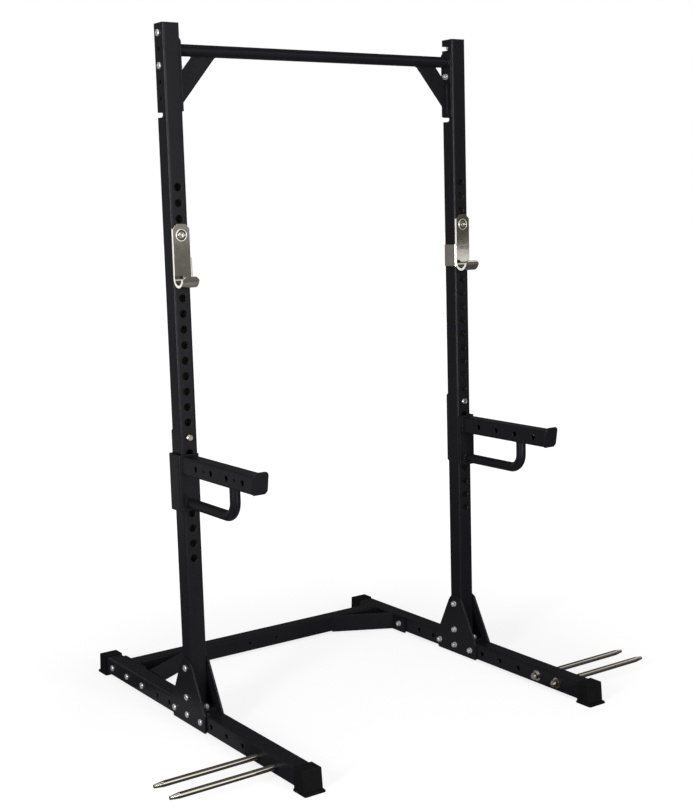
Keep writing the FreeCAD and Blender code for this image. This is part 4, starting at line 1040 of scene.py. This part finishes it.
class RACK_OT_stage(bpy.types.Operator):
    """Set up the white studio: floor, surroundings, softboxes and camera"""
    bl_idname = "rack.stage"
    bl_label = "Stage"

    def execute(self, context):
        settings = studio()
        self.floor()
        self.surroundings(settings)
        lamp("softbox_front", (0.15, -4.14, 1.5), (-0.57, 0, 1.3), (0.8, 2.8), settings.key)
        lamp("softbox_left", (-4.4, -2.05, 1.8), (-0.2, 0, 1.3), (1.0, 2.4), settings.side)
        lamp("softbox_overhead", (-1.0, -0.6, 4.6), (0, 0, 0), (3.0, 3.0), settings.top)
        for name, start, end, foot, top, share in FLAGS:
            self.flag(name, between(start, end, 12), ((FLAG_REACH, foot), (FLAG_REACH, top)),
                      settings.flag_shade * share)
        for name, start, end, level, inner, outer, share in CLOTHS:
            self.flag(name, between(start, end, 36), ((inner, level), (outer, level)), settings.flag_shade * share)
        start, end, reach, foot, top = CARD
        self.flag("rod_card", between(start, end, 6), ((reach, foot), (reach, top)), settings.card_shade)
        self.camera(settings)
        return {"FINISHED"}

    def floor(self):
        """A wide floor of pale paper that keeps the rack's faint shadow. It glows white further out. Near the rack
        it glows less for the camera, to leave the shadow, and hardly at all where metal mirrors it."""
        reach = FLOOR_REACH
        corners = [(-reach, -reach, 0), (reach, -reach, 0), (reach, reach, 0), (-reach, reach, 0)]
        mesh = plain_mesh("studio_floor", corners, faces=[(0, 1, 2, 3)])
        thing = link("studio_floor", mesh)
        material, tree, shader = surface("white_studio_paper", Roughness=0.9, Specular_IOR_Level=0.1,
                                         Base_Color=[*linear(FLOOR_COLOUR), 1], Emission_Color=(1, 1, 1, 1))
        place = add_node(tree, "ShaderNodeTexCoord").outputs["Object"]
        away = add_node(tree, "ShaderNodeVectorMath", {0: place}, operation="LENGTH").outputs["Value"]
        camera = add_node(tree, "ShaderNodeLightPath").outputs["Is Camera Ray"]
        near = add_node(tree, "ShaderNodeMapRange", {"Value": camera, "To Min": 0.1, "To Max": 0.8})
        glow = add_node(tree, "ShaderNodeMapRange", {
            "Value": away, "From Min": GLOW_STARTS, "From Max": GLOW_FULL, "To Min": near, "To Max": 1.0})
        lift = add_node(tree, "ShaderNodeMath", {0: seen_directly(tree), 1: glow}, operation="MULTIPLY")
        fill(tree, shader, {"Emission Strength": lift})
        mesh.materials.append(material)

    def flag(self, name, bearings, ends, shade):
        """A glowing grey sheet that only metal and gloss mirror, lit by no lamp: a painted reflection. At each
        bearing from the front it runs between two pairs of reach and height."""
        turns = [math.radians(bearing) for bearing in bearings]
        points = [(reach * math.sin(turn), -reach * math.cos(turn), z) for turn in turns for reach, z in ends]
        mesh = plain_mesh(name, points, faces=[(i, i + 2, i + 3, i + 1) for i in range(0, len(points) - 2, 2)])
        thing = link(name, mesh)
        material, tree, shader = surface(name + "_painted_reflection", Roughness=1.0, Specular_IOR_Level=0.0,
                                         Base_Color=(0, 0, 0, 1), Emission_Color=(1.0, 0.99, 0.96, 1),
                                         Emission_Strength=shade)
        mesh.materials.append(material)
        thing.visible_camera = thing.visible_diffuse = False
        thing.visible_transmission = thing.visible_shadow = False

    def surroundings(self, settings):
        """White all round where it is seen, and an even, weaker light elsewhere."""
        world = bpy.data.worlds.new("white_studio")
        world.use_nodes = True
        tree = world.node_tree
        strength = add_node(tree, "ShaderNodeMapRange", {
            "Value": seen_directly(tree), "To Min": settings.sky, "To Max": 1.0})
        fill(tree, tree.nodes["Background"], {"Color": (1, 1, 1, 1), "Strength": strength})
        bpy.context.scene.world = world

    def camera(self, settings):
        """The camera of the photograph, from the fit to its hole rows, rails and corners."""
        turn, dip, roll = -settings.camera_turn, settings.camera_dip, settings.camera_roll
        back = Vector((math.sin(turn) * math.cos(dip), -math.cos(turn) * math.cos(dip), math.sin(dip)))
        level = Vector((0, 0, 1)).cross(back).normalized()
        upright = back.cross(level)
        right = math.cos(roll) * level + math.sin(roll) * upright
        up = math.cos(roll) * upright - math.sin(roll) * level
        data = bpy.data.cameras.new("photo_camera")
        data.sensor_width = 36
        data.lens = settings.lens
        data.clip_end = 200
        thing = link("photo_camera", data)
        axes = Matrix((right, up, back)).transposed().to_4x4()
        thing.matrix_world = Matrix.Translation(settings.camera_place) @ axes
        bpy.context.scene.camera = thing
        bpy.context.scene.view_settings.view_transform = "Standard"


OPERATORS = (RACK_OT_finishes, RACK_OT_screws, RACK_OT_nuts, RACK_OT_rod_threads, RACK_OT_pins,
             RACK_OT_detent_balls, RACK_OT_stop_plates, RACK_OT_handles, RACK_OT_welds, RACK_OT_stage)


class RACK_PT_panel(bpy.types.Panel):
    """Every step of the rack's dressing"""
    bl_idname = "RACK_PT_panel"
    bl_label = "Squat rack"
    bl_space_type = "VIEW_3D"
    bl_region_type = "UI"
    bl_category = "Rack"

    def draw(self, context):
        for settings in (finishes(), hardware(), studio()):
            box = self.layout.box()
            for name in settings.bl_rna.properties.keys():
                if name not in ("rna_type", "name"):
                    box.prop(settings, name)
        for step in OPERATORS:
            self.layout.operator(step.bl_idname)


CLASSES = (RackFinishes, RackHardware, RackStudio, *OPERATORS, RACK_PT_panel)


def register():
    """Register the settings, operators and panel."""
    for item in CLASSES:
        bpy.utils.register_class(item)
    bpy.types.Scene.rack_finishes = PointerProperty(type=RackFinishes)
    bpy.types.Scene.rack_hardware = PointerProperty(type=RackHardware)
    bpy.types.Scene.rack_studio = PointerProperty(type=RackStudio)


def unregister():
    """Take them out again."""
    del bpy.types.Scene.rack_finishes
    del bpy.types.Scene.rack_hardware
    del bpy.types.Scene.rack_studio
    for item in reversed(CLASSES):
        bpy.utils.unregister_class(item)


def main():
    """Dress the rack step by step."""
    register()
    bpy.ops.rack.finishes()
    bpy.ops.rack.screws()
    bpy.ops.rack.nuts()
    bpy.ops.rack.rod_threads()
    bpy.ops.rack.pins()
    bpy.ops.rack.detent_balls()
    bpy.ops.rack.stop_plates()
    bpy.ops.rack.handles()
    bpy.ops.rack.welds()
    bpy.ops.rack.stage()


if __name__ == "__main__":
    main()
